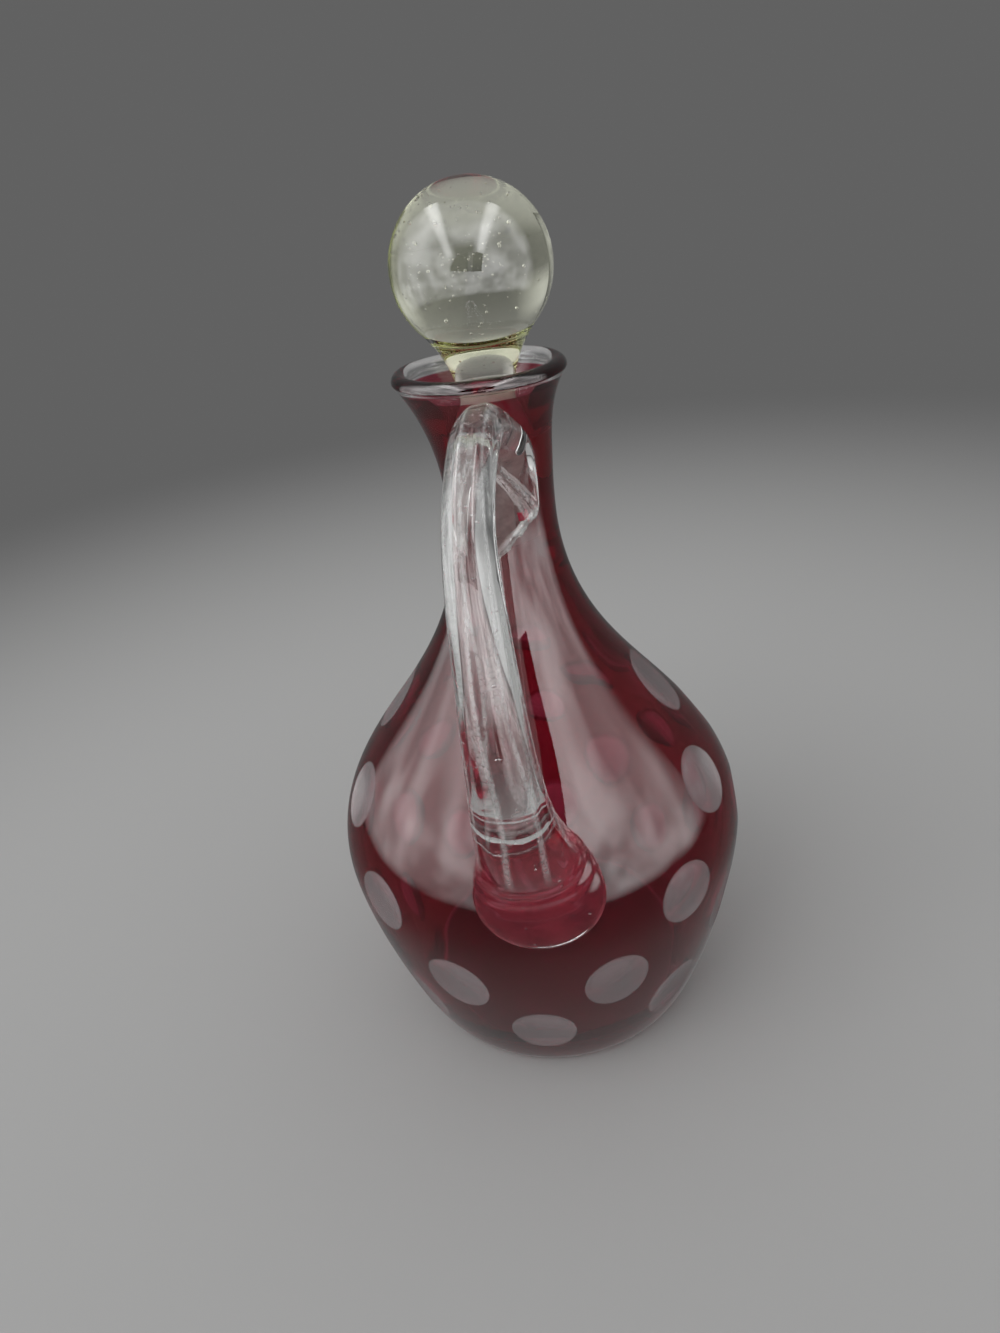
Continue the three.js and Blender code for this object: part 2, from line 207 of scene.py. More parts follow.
class Outline:
    """The turned outline of the bottle: points from the base to the lip's edge, with outward normals."""

    HEEL_FLARE, HEEL_RISE = 4.8, 2.4
    BELLY_PULL, SHOULDER_PULL, NECK_PULL = 16, 35, 47.2
    FLARE_PULL, LIP_PULL, LIP_SLOPE, MOUTH_PULL = 16.2, 8.1, 0.7, 5
    SEAT_TAPER, SEAT_LEAD = 0.05, 10
    FLOOR_ROUNDING, FLOOR_START, FLOOR_PULL, CORNER_PULL, LEAD_PULL = 12, 15, 7, 3, 4
    HEEL_STEPS, SHOULDER_STEPS, NECK_STEPS = 34, 52, 28
    CORNER_STEPS, LEAD_STEPS, MOUTH_STEPS, LIP_STEPS = 18, 12, 24, 16

    def __init__(self, body):
        self.base, self.belly, self.neck, self.lip = (
            size / MM for size in (body.base_radius, body.belly_radius, body.neck_radius, body.lip_radius)
        )
        self.rim = body.rim_height / MM
        self.waist = body.belly_height / MM
        self.throat = self.rim - body.neck_below_rim / MM
        self.bead = body.lip_thickness / MM / 2
        self.edge = self.rim - self.bead
        self.wall, self.floor = body.wall / MM, body.floor / MM
        self.seat_top = self.rim - body.seat_depth / MM
        self.seat_bottom = self.seat_top - body.seat_length / MM
        bore = (body.neck_radius - body.neck_wall) / MM
        self.seat_top_radius = bore + self.SEAT_TAPER * (self.seat_top - self.throat)
        self.seat_bottom_radius = self.seat_top_radius - self.SEAT_TAPER * (self.seat_top - self.seat_bottom)
        self.points, self.normals = self.outer_curves()
        self.inner = self.inner_line()

    def outer_curves(self):
        """Heel to belly, belly to neck, and neck to lip."""
        curves = [
            bezier(((self.base, 0), (self.base + self.HEEL_FLARE, self.HEEL_RISE),
                    (self.belly, self.waist - self.BELLY_PULL), (self.belly, self.waist)), self.HEEL_STEPS),
            bezier(((self.belly, self.waist), (self.belly, self.waist + self.SHOULDER_PULL),
                    (self.neck, self.throat - self.NECK_PULL), (self.neck, self.throat)),
                   self.SHOULDER_STEPS),
            bezier(((self.neck, self.throat), (self.neck, self.throat + self.FLARE_PULL),
                    (self.lip - self.LIP_SLOPE * self.LIP_PULL, self.edge - self.LIP_PULL),
                    (self.lip, self.edge)), self.NECK_STEPS),
        ]
        points = np.vstack([points[index > 0:] for index, (points, _) in enumerate(curves)])
        slopes = unit(np.vstack([slopes[index > 0:] for index, (_, slopes) in enumerate(curves)]))
        return points, np.column_stack([slopes[:, 1], -slopes[:, 0]])

    def inwards(self, depth):
        """The outline moved inwards by a depth."""
        return self.points - self.normals * depth

    def radius(self, height, depth=0.0):
        """Radius at a height."""
        line = self.inwards(depth)
        return np.interp(height, line[:, 1], line[:, 0])

    def between(self, depth, low, high):
        """The part of the outline, at a depth, between two heights."""
        line = self.inwards(depth)
        inside = line[(line[:, 1] > low + NEAR) & (line[:, 1] < high - NEAR)]
        return np.vstack([(self.radius(low, depth), low), inside, (self.radius(high, depth), high)])

    def place(self, height, degrees=0.0):
        """A point on the outline, turned round the axis from the handle's side, and its outward normal."""
        radial, upward = (np.interp(height, self.points[:, 1], self.normals[:, i]) for i in (0, 1))
        angle = math.radians(degrees) - math.pi / 2
        out = np.array([math.cos(angle), math.sin(angle), 0])
        up = np.array([0, 0, 1.0])
        return self.radius(height) * out + height * up, unit(radial * out + upward * up)

    def inner_line(self):
        """The inside, from the middle of the floor up to the lip's edge."""
        inside = self.lip - 2 * self.bead
        wall = self.between(self.wall, self.floor + self.FLOOR_ROUNDING, self.seat_bottom - self.SEAT_LEAD)
        foot, low, seat = wall[0][0], self.floor, (self.seat_bottom_radius, self.seat_bottom)
        corner, _ = bezier(((foot - self.FLOOR_START, low), (foot - self.FLOOR_PULL, low),
                            (foot - self.CORNER_PULL, low + self.CORNER_PULL), wall[0]), self.CORNER_STEPS)
        lead, _ = bezier((wall[-1], wall[-1] + (0, self.LEAD_PULL),
                          (seat[0], seat[1] - self.LEAD_PULL), seat), self.LEAD_STEPS)
        mouth, _ = bezier(((self.seat_top_radius, self.seat_top),
                           (self.seat_top_radius, self.seat_top + self.MOUTH_PULL),
                           (inside - self.LIP_SLOPE * self.MOUTH_PULL, self.edge - self.MOUTH_PULL),
                           (inside, self.edge)), self.MOUTH_STEPS)
        return np.vstack([[(0, self.floor)], corner, wall[2:-1:2], lead, mouth])

    def lip_edge(self):
        """The rolled edge of the lip, from outside to inside."""
        turn = np.linspace(0, math.pi, self.LIP_STEPS)[1:-1]
        middle = self.lip - self.bead
        return np.column_stack([middle + self.bead * np.cos(turn), self.edge + self.bead * np.sin(turn)])

    def whole(self):
        """The closed profile of the bottle."""
        return np.vstack([[(0, 0)], self.points, self.lip_edge(), self.inner[::-1]])


def lathe(profile, segments):
    """Vertices and faces of a closed profile turned about the Z axis, whose ends may touch the axis."""
    profile = np.array(profile, float)
    angles = np.linspace(0, 2 * math.pi, segments, endpoint=False)
    verts, rings, faces = [], [], []
    for radius, height in profile:
        if radius < NEAR:
            rings.append([len(verts)] * segments)
            verts.append((0, 0, height))
        else:
            rings.append(list(range(len(verts), len(verts) + segments)))
            verts += [(radius * math.cos(a), radius * math.sin(a), height) for a in angles]
    closed = profile[0, 0] > NEAR
    for lower, upper in zip(rings, rings[1:] + (rings[:1] if closed else [])):
        for i in range(segments):
            j = (i + 1) % segments
            faces.append(list(dict.fromkeys([lower[i], lower[j], upper[j], upper[i]])))
    return verts, faces


def ball(rows=16, segments=32):
    """Vertices and faces of a ball of radius one."""
    return lathe([(math.sin(t), -math.cos(t)) for t in np.linspace(0, math.pi, rows + 1)], segments)


def line_normals(line, heights):
    """Radial and upward parts of the normals of a line that rises or stays level, on its right."""
    ways = unit(np.diff(line, axis=0))
    ways = unit(np.vstack([ways[:1], ways[:-1] + ways[1:], ways[-1:]]))
    radial, upward = (np.interp(heights, line[:, 1], ways[:, i]) for i in (1, 0))
    return radial, -upward


def turned(points, radial, upward):
    """Turns radial and upward parts about the axis to where the points are."""
    radii = np.maximum(np.hypot(points[:, 0], points[:, 1]), TINY)
    return np.column_stack([radial * points[:, 0] / radii, radial * points[:, 1] / radii, upward])


def bottle_normals(points, outline):
    """Exact outward normals at points on the bottle's turned surface."""
    radii, heights = np.hypot(points[:, 0], points[:, 1]), points[:, 2]
    middle = (outline.radius(heights) + np.interp(heights, outline.inner[:, 1], outline.inner[:, 0])) / 2
    outside = (radii > middle) | (heights < outline.floor - NEAR)
    normals = np.empty((len(points), 3))
    for chosen, line, side in ((outside, outline.points, 1), (~outside, outline.inner, -1)):
        radial, upward = line_normals(line, heights[chosen])
        normals[chosen] = turned(points[chosen], side * radial, side * upward)
    on_edge = heights > outline.edge
    ways = unit(np.column_stack([radii - outline.lip + outline.bead, heights - outline.edge])[on_edge])
    normals[on_edge] = turned(points[on_edge], ways[:, 0], ways[:, 1])
    return unit(normals)


# Ways and starts of the waves in the glass; a way of length one is a wave of about six millimetres
WAVES = (
    ((0.21, 0.10, 0.05), 0.3), ((-0.12, 0.24, 0.04), 1.9), ((0.09, -0.07, 0.16), 4.1),
    ((0.33, 0.29, -0.06), 2.2), ((-0.05, 0.12, -0.24), 5.3),
)

# How much higher the waves are where the handle's fold heated the neck, and where that is
HEATED_WAVES = 3.0
HEATED_HEIGHT, HEATED_SPREAD, HEATED_SIDE = 132, 26, 12


def hand_blown(points, normals, height):
    """Normals tilted by the gentle waves of hand-worked glass, whose height is in millimetres."""
    slopes = np.zeros_like(points)
    heated = bell(points[:, 2] - HEATED_HEIGHT, HEATED_SPREAD) * ramp(-points[:, 1], 0, HEATED_SIDE)
    height = (height * (1 + HEATED_WAVES * heated))[:, None]
    for way, start in WAVES:
        slopes += height * np.outer(np.cos(points @ np.array(way) + start), way)
    return unit(normals - slopes)


# Meshes


def new_mesh(name, verts, faces, materials=()):
    """A mesh from vertices in millimetres, with its faces pointing outwards."""
    mesh = bpy.data.meshes.new(name)
    mesh.from_pydata([Vector(v) * MM for v in verts], [], faces)
    for material in materials:
        mesh.materials.append(material)
    if signed_volume(mesh) < 0:
        mesh.flip_normals()
    mesh.update()
    return mesh


def new_object(mesh):
    """An object for a mesh, linked to the scene."""
    thing = bpy.data.objects.new(mesh.name, mesh)
    bpy.context.scene.collection.objects.link(thing)
    return thing


def positions(mesh):
    """The vertices in millimetres."""
    points = np.empty(len(mesh.vertices) * 3)
    mesh.vertices.foreach_get("co", points)
    return points.reshape(-1, 3) / MM


def signed_volume(mesh):
    """The volume, which is negative when the faces point inwards."""
    mesh.calc_loop_triangles()
    corners = np.empty(len(mesh.loop_triangles) * 3, int)
    mesh.loop_triangles.foreach_get("vertices", corners)
    a, b, c = (positions(mesh)[corners.reshape(-1, 3)[:, i]] for i in range(3))
    return np.einsum("ij,ij->i", a, np.cross(b, c)).sum() / 6


def plain(thing):
    """Turns an object's modifiers into a plain mesh and removes them."""
    depsgraph = bpy.context.evaluated_depsgraph_get()
    mesh = bpy.data.meshes.new_from_object(thing.evaluated_get(depsgraph))
    thing.modifiers.clear()
    old, thing.data = thing.data, mesh
    bpy.data.meshes.remove(old)
    mesh.name = thing.name
    return thing


def remove(thing):
    """Removes a helper object and its mesh."""
    mesh = thing.data
    bpy.data.objects.remove(thing)
    bpy.data.meshes.remove(mesh)


def move(mesh, change):
    """Moves a mesh's vertices by a function from points to points."""
    mesh.vertices.foreach_set("co", (change(positions(mesh)) * MM).ravel())
    mesh.update()


def copy_of(thing, name):
    """A copy of an object with a mesh of its own."""
    mesh = thing.data.copy()
    mesh.name = name
    return new_object(mesh)


def take_away(thing, other):
    """Takes one solid out of another; the new faces keep the other's material."""
    cut = thing.modifiers.new("Cut", "BOOLEAN")
    cut.operation = "DIFFERENCE"
    cut.solver = "MANIFOLD"
    cut.material_mode = "TRANSFER"
    cut.object = other
    return plain(thing)


def corner_materials(mesh):
    """The vertex number and the material's name of every face corner."""
    which = np.empty(len(mesh.loops), int)
    mesh.loops.foreach_get("vertex_index", which)
    totals, slots = np.empty(len(mesh.polygons), int), np.empty(len(mesh.polygons), int)
    mesh.polygons.foreach_get("loop_total", totals)
    mesh.polygons.foreach_get("material_index", slots)
    names = np.array([material.name if material else "" for material in mesh.materials])
    return which, names[np.repeat(slots, totals)]


def set_normals(mesh, rules):
    """Gives every face corner an exact normal. Rules give, for a material's name, a function from points to
    normals; the rule named "" is for the rest, and a rule of None keeps the mesh's own smooth normals."""
    mesh.shade_smooth()
    own = np.empty(len(mesh.loops) * 3)
    mesh.corner_normals.foreach_get("vector", own)
    normals = own.reshape(-1, 3)
    points = positions(mesh)
    which, names = corner_materials(mesh)
    for name in np.unique(names):
        rule = rules.get(str(name), rules.get(""))
        if rule is None:
            continue
        chosen = names == name
        verts, back = np.unique(which[chosen], return_inverse=True)
        normals[chosen] = rule(points[verts])[back]
    mesh.normals_split_custom_set(normals)
    mesh.update()


# Nodes


def socket(tree, name):
    """The identifier of a node group's named input."""
    return next(s.identifier for s in tree.interface.items_tree if s.name == name and s.in_out == "INPUT")


def new_tree(name, inputs):
    """A geometry node group with a geometry input and output and some more named inputs."""
    tree = bpy.data.node_groups.new(name, "GeometryNodeTree")
    tree.interface.new_socket("Geometry", in_out="INPUT", socket_type="NodeSocketGeometry")
    for label, kind, default in inputs:
        item = tree.interface.new_socket(label, in_out="INPUT", socket_type="NodeSocket" + kind)
        if default is not None:
            item.default_value = default
    tree.interface.new_socket("Geometry", in_out="OUTPUT", socket_type="NodeSocketGeometry")
    return tree, node(tree, "NodeGroupInput").outputs, node(tree, "NodeGroupOutput").inputs


def node(tree, kind, inputs=None, **settings):
    """Adds a node with its settings. Its inputs, by name or number, take values or other nodes' outputs."""
    made = tree.nodes.new(kind)
    for name, value in settings.items():
        setattr(made, name, value)
    for name, value in (inputs or {}).items():
        if isinstance(value, bpy.types.NodeSocket):
            tree.links.new(value, made.inputs[name])
        else:
            made.inputs[name].default_value = value
    return made


def maths(tree, operation, *values):
    """The result of a Math node on outputs and numbers."""
    return node(tree, "ShaderNodeMath", dict(enumerate(values)), operation=operation).outputs[0]


def colours(tree, factor, stops):
    """A colour ramp with grey stops of (place, level)."""
    made = node(tree, "ShaderNodeValToRGB", {"Fac": factor})
    keys = made.color_ramp.elements
    while len(keys) < len(stops):
        keys.new(0.5)
    for key, (place, level) in zip(keys, stops):
        key.position = place
        key.color = (level, level, level, 1)
    return made.outputs["Color"]


def between_levels(tree, value, low, high, least, most):
    """A value mapped from one range to another."""
    levels = {"Value": value, "From Min": low, "From Max": high, "To Min": least, "To Max": most}
    return node(tree, "ShaderNodeMapRange", levels).outputs[0]


def mixed(tree, share, first, second):
    """A mix of two shaders."""
    return node(tree, "ShaderNodeMixShader", {0: share, 1: first, 2: second}).outputs[0]


def coordinates(tree, kind="Object"):
    """The piece's own coordinates, or another kind."""
    return node(tree, "ShaderNodeTexCoord").outputs[kind]


def noise(tree, scale, detail=2.0):
    """Noise on the piece's own coordinates, with this many lumps in a metre."""
    given = {"Vector": coordinates(tree), "Scale": scale, "Detail": detail}
    return node(tree, "ShaderNodeTexNoise", given).outputs["Fac"]


# Materials

GLASS_IOR = 1.55
GROUND_ROUGHNESS = 0.2
LENS_ROUGHNESS, LENS_CLEAR, LENS_GRAIN = 0.26, 0.74, (700, 0.00003)
# Matt white on the handle: rough wear with a painted highlight at the sheared edge, and painted highlights on
# the fold's ridge and the rod's lines
WEAR_HIGHLIGHT_LUMPS, WEAR_HIGHLIGHT_MARKS, WEAR_HIGHLIGHT_ROUGHNESS, WEAR_HIGHLIGHT_CLEAR = 900, (0.3, 0.6, 0.5, 1.0), 0.4, 0.15
# Noise of the faint cloud and of the painted glow in the glass
CLOUD_AND_GLOW_DETAIL, CLOUD_AND_GLOW_FROM, CLOUD_AND_GLOW_TO = 3.0, 0.3, 0.7
# Share of painted glow on the ruby's faces: lumps in a metre, the least and the most
RUBY_PAINTED_GLOW = (40, 0.06, 0.12)

# The least share of light that a tint counts as, and how far an absorbing volume is above its strongest loss
DARKEST, HEADROOM = 1e-3, 1.02


def new_material(name):
    """A material with an empty tree, and its output's inputs."""
    material = bpy.data.materials.new(name)
    material.use_nodes = True
    tree = material.node_tree
    tree.nodes.clear()
    return material, tree, node(tree, "ShaderNodeOutputMaterial").inputs


def glass_material(name, tint, roughness=0.0, clear=1.0, grain=None, through=None):
    """Glass. Grain is a fine bump's lumps in a metre and depth; through is a tint and the length for it."""
    material, tree, out = new_material(name)
    glass = node(tree, "ShaderNodeBsdfPrincipled", {
        "Base Color": (*tint, 1), "Roughness": roughness, "IOR": GLASS_IOR, "Transmission Weight": clear,
    })
    if grain:
        lumps, depth = grain
        bumps = {"Strength": 1.0, "Distance": depth, "Height": noise(tree, lumps)}
        tree.links.new(node(tree, "ShaderNodeBump", bumps).outputs[0], glass.inputs["Normal"])
    tree.links.new(glass.outputs[0], out["Surface"])
    if through:
        tree.links.new(absorbing(tree, *through), out["Volume"])
    return material


def worn_glass(name, tint):
    """Glass that is matt and whitish where the piece's own attribute says so: rough wear with a painted
    highlight on the sheared edge, and painted highlights on the fold's ridge, its wrinkles and the rod's
    drawn lines.
    """
    material = glass_material(name, tint)
    tree = material.node_tree
    glass = tree.nodes["Principled BSDF"].inputs
    worn = node(tree, "ShaderNodeAttribute", attribute_name="worn").outputs["Fac"]
    marks = maths(tree, "MULTIPLY", worn, between_levels(tree, noise(tree, WEAR_HIGHLIGHT_LUMPS), *WEAR_HIGHLIGHT_MARKS))
    tree.links.new(between_levels(tree, marks, 0.4, 1, 0.0, WEAR_HIGHLIGHT_ROUGHNESS), glass["Roughness"])
    tree.links.new(between_levels(tree, marks, 0, 1, 1.0, WEAR_HIGHLIGHT_CLEAR), glass["Transmission Weight"])
    return material


def absorbing(tree, tint, depth):
    """A volume of which a depth in metres lets a tint through."""
    loss = [-math.log(max(c, DARKEST)) / depth for c in tint]
    density = max(loss) * HEADROOM
    return node(tree, "ShaderNodeVolumeAbsorption", {
        "Color": (*[1 - v / density for v in loss], 1), "Density": density,
    }).outputs[0]


def fused_material():
    """The face where two hot glasses have become one: nothing is seen there."""
    _, tree, out = new_material(FUSED)
    tree.links.new(node(tree, "ShaderNodeBsdfTransparent").outputs[0], out["Surface"])


def cloudy_material(name, tint, lumps, least, most):
    """A face in the glass that lets light pass but for a faint coloured cloud, thicker in some places. On the
    ruby and under the pad this diffuse colour is a painted glow that stands in for light gathered inside the
    glass.
    """
    material, tree, out = new_material(name)
    share = between_levels(tree, noise(tree, lumps, CLOUD_AND_GLOW_DETAIL), CLOUD_AND_GLOW_FROM, CLOUD_AND_GLOW_TO, least, most)
    through = node(tree, "ShaderNodeBsdfTransparent").outputs[0]
    cloud = node(tree, "ShaderNodeBsdfDiffuse", {"Color": (*tint, 1)}).outputs[0]
    tree.links.new(mixed(tree, share, through, cloud), out["Surface"])
    return material


def ruby_material(tint, glow):
    """Ruby glass lying in the clear glass: it takes off light by the length of the way through it. Its faces
    carry a faint painted glow of diffuse red, for the light that the ruby sends back from inside.
    """
    material = cloudy_material("ruby_glass", glow, *RUBY_PAINTED_GLOW)
    tree = material.node_tree
    tree.links.new(absorbing(tree, tint, MM), tree.nodes["Material Output"].inputs["Volume"])
    return material


# Bottle and overlay

SEGMENTS = 360
BOTTLE_WAVES = 0.012
LENS_TURN = -2
CUTTER_WIDENING, CUTTER_TOP, CUTTER_STEPS, CUTTER_SEGMENTS = 1.15, 6, 10, 72
SKIN_CUT_DEEPER = 0.05
THINNING, THIN_WITHIN, THIN_UNTIL = 0.55, 0.8, 1.05
LIP_SHIFT, LIP_LIFT, LIP_TILT = -1.4, 1.7, 0.013
LIP_FROM, LIP_TO = 168, 190
SEAT_MARGIN = 0.05


def lens_centres(cuts, outline):
    """Point and normal of every lens cut; a plain panel that widens row by row stays behind the handle."""
    places = []
    for row in range(cuts.rows):
        stagger = 0 if row % 2 == 0 else 0.5
        panel = (row - 1) / 2
        for cut in range(cuts.per_row):
            steps = cut + stagger - cuts.per_row / 2
            if abs(steps) >= panel:
                degrees = steps * 360 / cuts.per_row + LENS_TURN
                places.append(outline.place((cuts.first_row + row * cuts.pitch) / MM, degrees))
    return places


def lens_depth(cuts, outline):
    """How deep the wheel is sunk in the middle of a lens."""
    half = cuts.diameter / MM / 2
    return half * half / 2 * (MM / cuts.wheel + 1 / outline.belly)


def lens_cutter(cuts, outline, more, material):
    """A cutter on the Z axis: the wheel's round edge, sunk to its depth and somewhat more."""
    reach = cuts.diameter / MM / 2 * CUTTER_WIDENING
    wheel = cuts.wheel / MM
    radii = np.linspace(0, reach, CUTTER_STEPS)
    rise = wheel - np.sqrt(wheel**2 - radii**2) - lens_depth(cuts, outline) - more
    profile = np.vstack([np.column_stack([radii, rise]), [(reach, CUTTER_TOP), (0, CUTTER_TOP)]])
    return new_object(new_mesh("lens_cutter", *lathe(profile, CUTTER_SEGMENTS), [material]))


def lens_cloud(places):
    """Loose points at the lens cuts, with their outward normals."""
    mesh = bpy.data.meshes.new("lens_places")
    mesh.from_pydata([Vector(point) * MM for point, _ in places], [], [])
    mesh.attributes.new("outward", "FLOAT_VECTOR", "POINT")
    mesh.attributes["outward"].data.foreach_set("vector", np.array([normal for _, normal in places]).ravel())
    return new_object(mesh)


def lens_tree():
    """Geometry nodes that stand a cutter on every point of a cloud and take them all out of a piece."""
    tree, given, made = new_tree("Lens cuts", [("Places", "Object", None), ("Cutter", "Object", None)])
    places = node(tree, "GeometryNodeObjectInfo", {"Object": given["Places"]})
    cutter = node(tree, "GeometryNodeObjectInfo", {"Object": given["Cutter"]})
    outward = node(tree, "GeometryNodeInputNamedAttribute", {"Name": "outward"}, data_type="FLOAT_VECTOR")
    turn = node(tree, "FunctionNodeAlignRotationToVector", {"Vector": outward.outputs["Attribute"]}, axis="Z")
    copies = node(tree, "GeometryNodeInstanceOnPoints", {
        "Points": places.outputs["Geometry"], "Instance": cutter.outputs["Geometry"],
        "Rotation": turn.outputs["Rotation"],
    })
    solid = node(tree, "GeometryNodeRealizeInstances", {"Geometry": copies.outputs["Instances"]})
    cut = node(tree, "GeometryNodeMeshBoolean", {
        "Mesh 1": given["Geometry"], "Mesh 2": solid.outputs["Geometry"],
    }, operation="DIFFERENCE", solver="MANIFOLD")
    tree.links.new(cut.outputs["Mesh"], made["Geometry"])
    return tree


def cut_lenses(thing, cutter, places):
    """Takes the lens cuts out of a piece."""
    cloud = lens_cloud(places)
    modifier = thing.modifiers.new("Lens cuts", "NODES")
    modifier.node_group = lens_tree()
    modifier[socket(modifier.node_group, "Places")] = cloud
    modifier[socket(modifier.node_group, "Cutter")] = cutter
    plain(thing)
    remove(cutter)
    remove(cloud)


def lens_normals(points, places, cuts, outline):
    """Normals in the lens cuts: towards the middle of the wheel that cut them."""
    lift = cuts.wheel / MM - lens_depth(cuts, outline)
    middles = np.array([point + normal * lift for point, normal in places])
    nearest = ((points[:, None] - middles[None]) ** 2).sum(2).argmin(1)
    return unit(middles[nearest] - points)


def paint(mesh, name, chosen):
    """Gives a material to the faces whose middles are chosen."""
    middles = np.empty(len(mesh.polygons) * 3)
    mesh.polygons.foreach_get("center", middles)
    middles = middles.reshape(-1, 3) / MM
    slots = np.empty(len(mesh.polygons), int)
    mesh.polygons.foreach_get("material_index", slots)
    slots[chosen(middles)] = mesh.materials.find(name)
    mesh.polygons.foreach_set("material_index", slots)


def thinned(points, outline, handle, body):
    """The ruby skin drawn thin where the hot pad was pressed on it."""
    centre, normal = outline.place(handle.pad_height / MM)
    off = points - centre - (HandleForm.PAD_SIDE, 0, 0)
    away = np.sqrt((off**2).sum(1)) / (handle.pad_half_width / MM)
    depth = (outline.radius(points[:, 2]) - np.hypot(points[:, 0], points[:, 1])) * normal[1] * -1
    inner = depth > body.overlay / MM / 2
    push = inner * THINNING * body.overlay / MM * (1 - ramp(away, THIN_WITHIN, THIN_UNTIL))
    return points + push[:, None] * normal


def uneven_lip(points):
    """The lip as it was worked by hand: somewhat higher and to one side."""
    share = ramp(points[:, 2], LIP_FROM, LIP_TO)[:, None]
    lift = LIP_LIFT - LIP_TILT * points[:, 0]
    return points + share * np.column_stack([np.full(len(points), LIP_SHIFT), np.zeros(len(points)), lift])


def body_space(outline, depth):
    """All the space inside the bottle's outline, moved inwards by a depth."""
    line = outline.inwards(depth)
    profile = np.vstack([[(0, line[0, 1])], line, [(0, line[-1, 1])]])
    return new_object(new_mesh("body_space", *lathe(profile, SEGMENTS), [bpy.data.materials[FUSED]]))


def cut_recess(bottle, outline):
    """Takes out of the bottle the room in which the handle is fused to it."""
    recess = copy_of(bpy.data.objects[RAW_HANDLE], "recess")
    inside = body_space(outline, RECESS_DEPTH)
    take_away(recess, inside)
    remove(inside)
    recess.data.materials.clear()
    recess.data.materials.append(bpy.data.materials[FUSED])
    take_away(bottle, recess)
    remove(recess)


class CRUET_OT_bottle(bpy.types.Operator):
    """Makes the clear bottle with its lens cuts, and the recess in which the handle is fused to it"""

    bl_idname = "cruet.bottle"
    bl_label = "Bottle"

    def execute(self, context):
        scene = context.scene
        body, cuts, glass = scene.cruet_body, scene.cruet_cuts, scene.cruet_glass
        outline = Outline(body)
        clear = glass_material("clear_glass", glass.clear)
        # The lens cuts' pink tint is painted red light from inside the bottle; their matt grinding is real
        lens = glass_material("ground_lens", glass.lens, LENS_ROUGHNESS, LENS_CLEAR, LENS_GRAIN)
        seat = glass_material("ground_seat", glass.clear, GROUND_ROUGHNESS)
        base = glass_material("ground_base", glass.clear, GROUND_ROUGHNESS)
        places = lens_centres(cuts, outline)
        shape = lathe(outline.whole(), SEGMENTS)
        bottle = new_object(new_mesh("clear_bottle", *shape, [clear, seat, base]))
        paint(bottle.data, base.name, lambda points: points[:, 2] < NEAR)
        paint(bottle.data, seat.name, lambda points: (
            (np.hypot(points[:, 0], points[:, 1]) < outline.seat_top_radius + SEAT_MARGIN)
            & (points[:, 2] > outline.seat_bottom) & (points[:, 2] < outline.seat_top)
        ))
        cut_lenses(bottle, lens_cutter(cuts, outline, 0.0, lens), places)
        cut_recess(bottle, outline)
        set_normals(bottle.data, {
            lens.name: lambda points: lens_normals(points, places, cuts, outline),
            base.name: lambda points: np.tile((0.0, 0.0, -1.0), (len(points), 1)),
            "": lambda points: hand_blown(points, bottle_normals(points, outline), BOTTLE_WAVES),
        })
        move(bottle.data, uneven_lip)
        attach(bottle, "bottle")
        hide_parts("bottle")
        return {"FINISHED"}


class CRUET_OT_overlay(bpy.types.Operator):
    """Makes the ruby skin with the lens cuts through it"""

    bl_idname = "cruet.overlay"
    bl_label = "Ruby Overlay"

    def execute(self, context):
        scene = context.scene
        body, cuts, glass = scene.cruet_body, scene.cruet_cuts, scene.cruet_glass
        outline = Outline(body)
        ruby = ruby_material(glass.ruby, glass.glow)
        low, high = body.overlay_start / MM, outline.rim - body.clear_lip / MM
        outer = outline.between(RUBY_DEPTH, low, high)
        inner = outline.between(RUBY_DEPTH + body.overlay / MM, low, high)
        skin = np.vstack([outer, inner[::-1]])
        overlay = new_object(new_mesh("ruby_skin", *lathe(skin, SEGMENTS), [ruby]))
        move(overlay.data, lambda points: thinned(points, outline, scene.cruet_handle, body))
        cut_lenses(overlay, lens_cutter(cuts, outline, SKIN_CUT_DEEPER, ruby), lens_centres(cuts, outline))
        overlay.data.shade_smooth()
        move(overlay.data, uneven_lip)
        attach(overlay, "bottle")
        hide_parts("ruby_overlay")
        return {"FINISHED"}


# Seeds: tiny bubbles trapped in the glass

LEAST_DEPTH, DEPTH_SEED = 0.08, 7
LEAST_SIZE, SIZE_SEED = 0.25, 11


def some_of(tree, most, least, seed):
    """A share of a length, drawn for each bubble."""
    share = node(tree, "FunctionNodeRandomValue", {2: least, "Seed": seed})
    return maths(tree, "MULTIPLY", most, share.outputs[1])


def in_glass(tree, piece, sunk, normal, size):
    """The points that lie inside a piece, and deeper under its surface than a bubble's size."""
    look = node(tree, "GeometryNodeRaycast", {"Target Geometry": piece, "Ray Direction": normal})
    both = {0: look.outputs["Hit Normal"], 1: normal}
    facing = node(tree, "ShaderNodeVectorMath", both, operation="DOT_PRODUCT")
    near = node(tree, "GeometryNodeProximity", {0: piece})
    inside = maths(tree, "GREATER_THAN", facing.outputs["Value"], 0.0)
    deep = maths(tree, "GREATER_THAN", near.outputs["Distance"], size)
    stray = maths(tree, "SUBTRACT", 1.0, maths(tree, "MULTIPLY", inside, deep))
    return node(tree, "GeometryNodeDeleteGeometry", {"Geometry": sunk, "Selection": stray}).outputs[0]


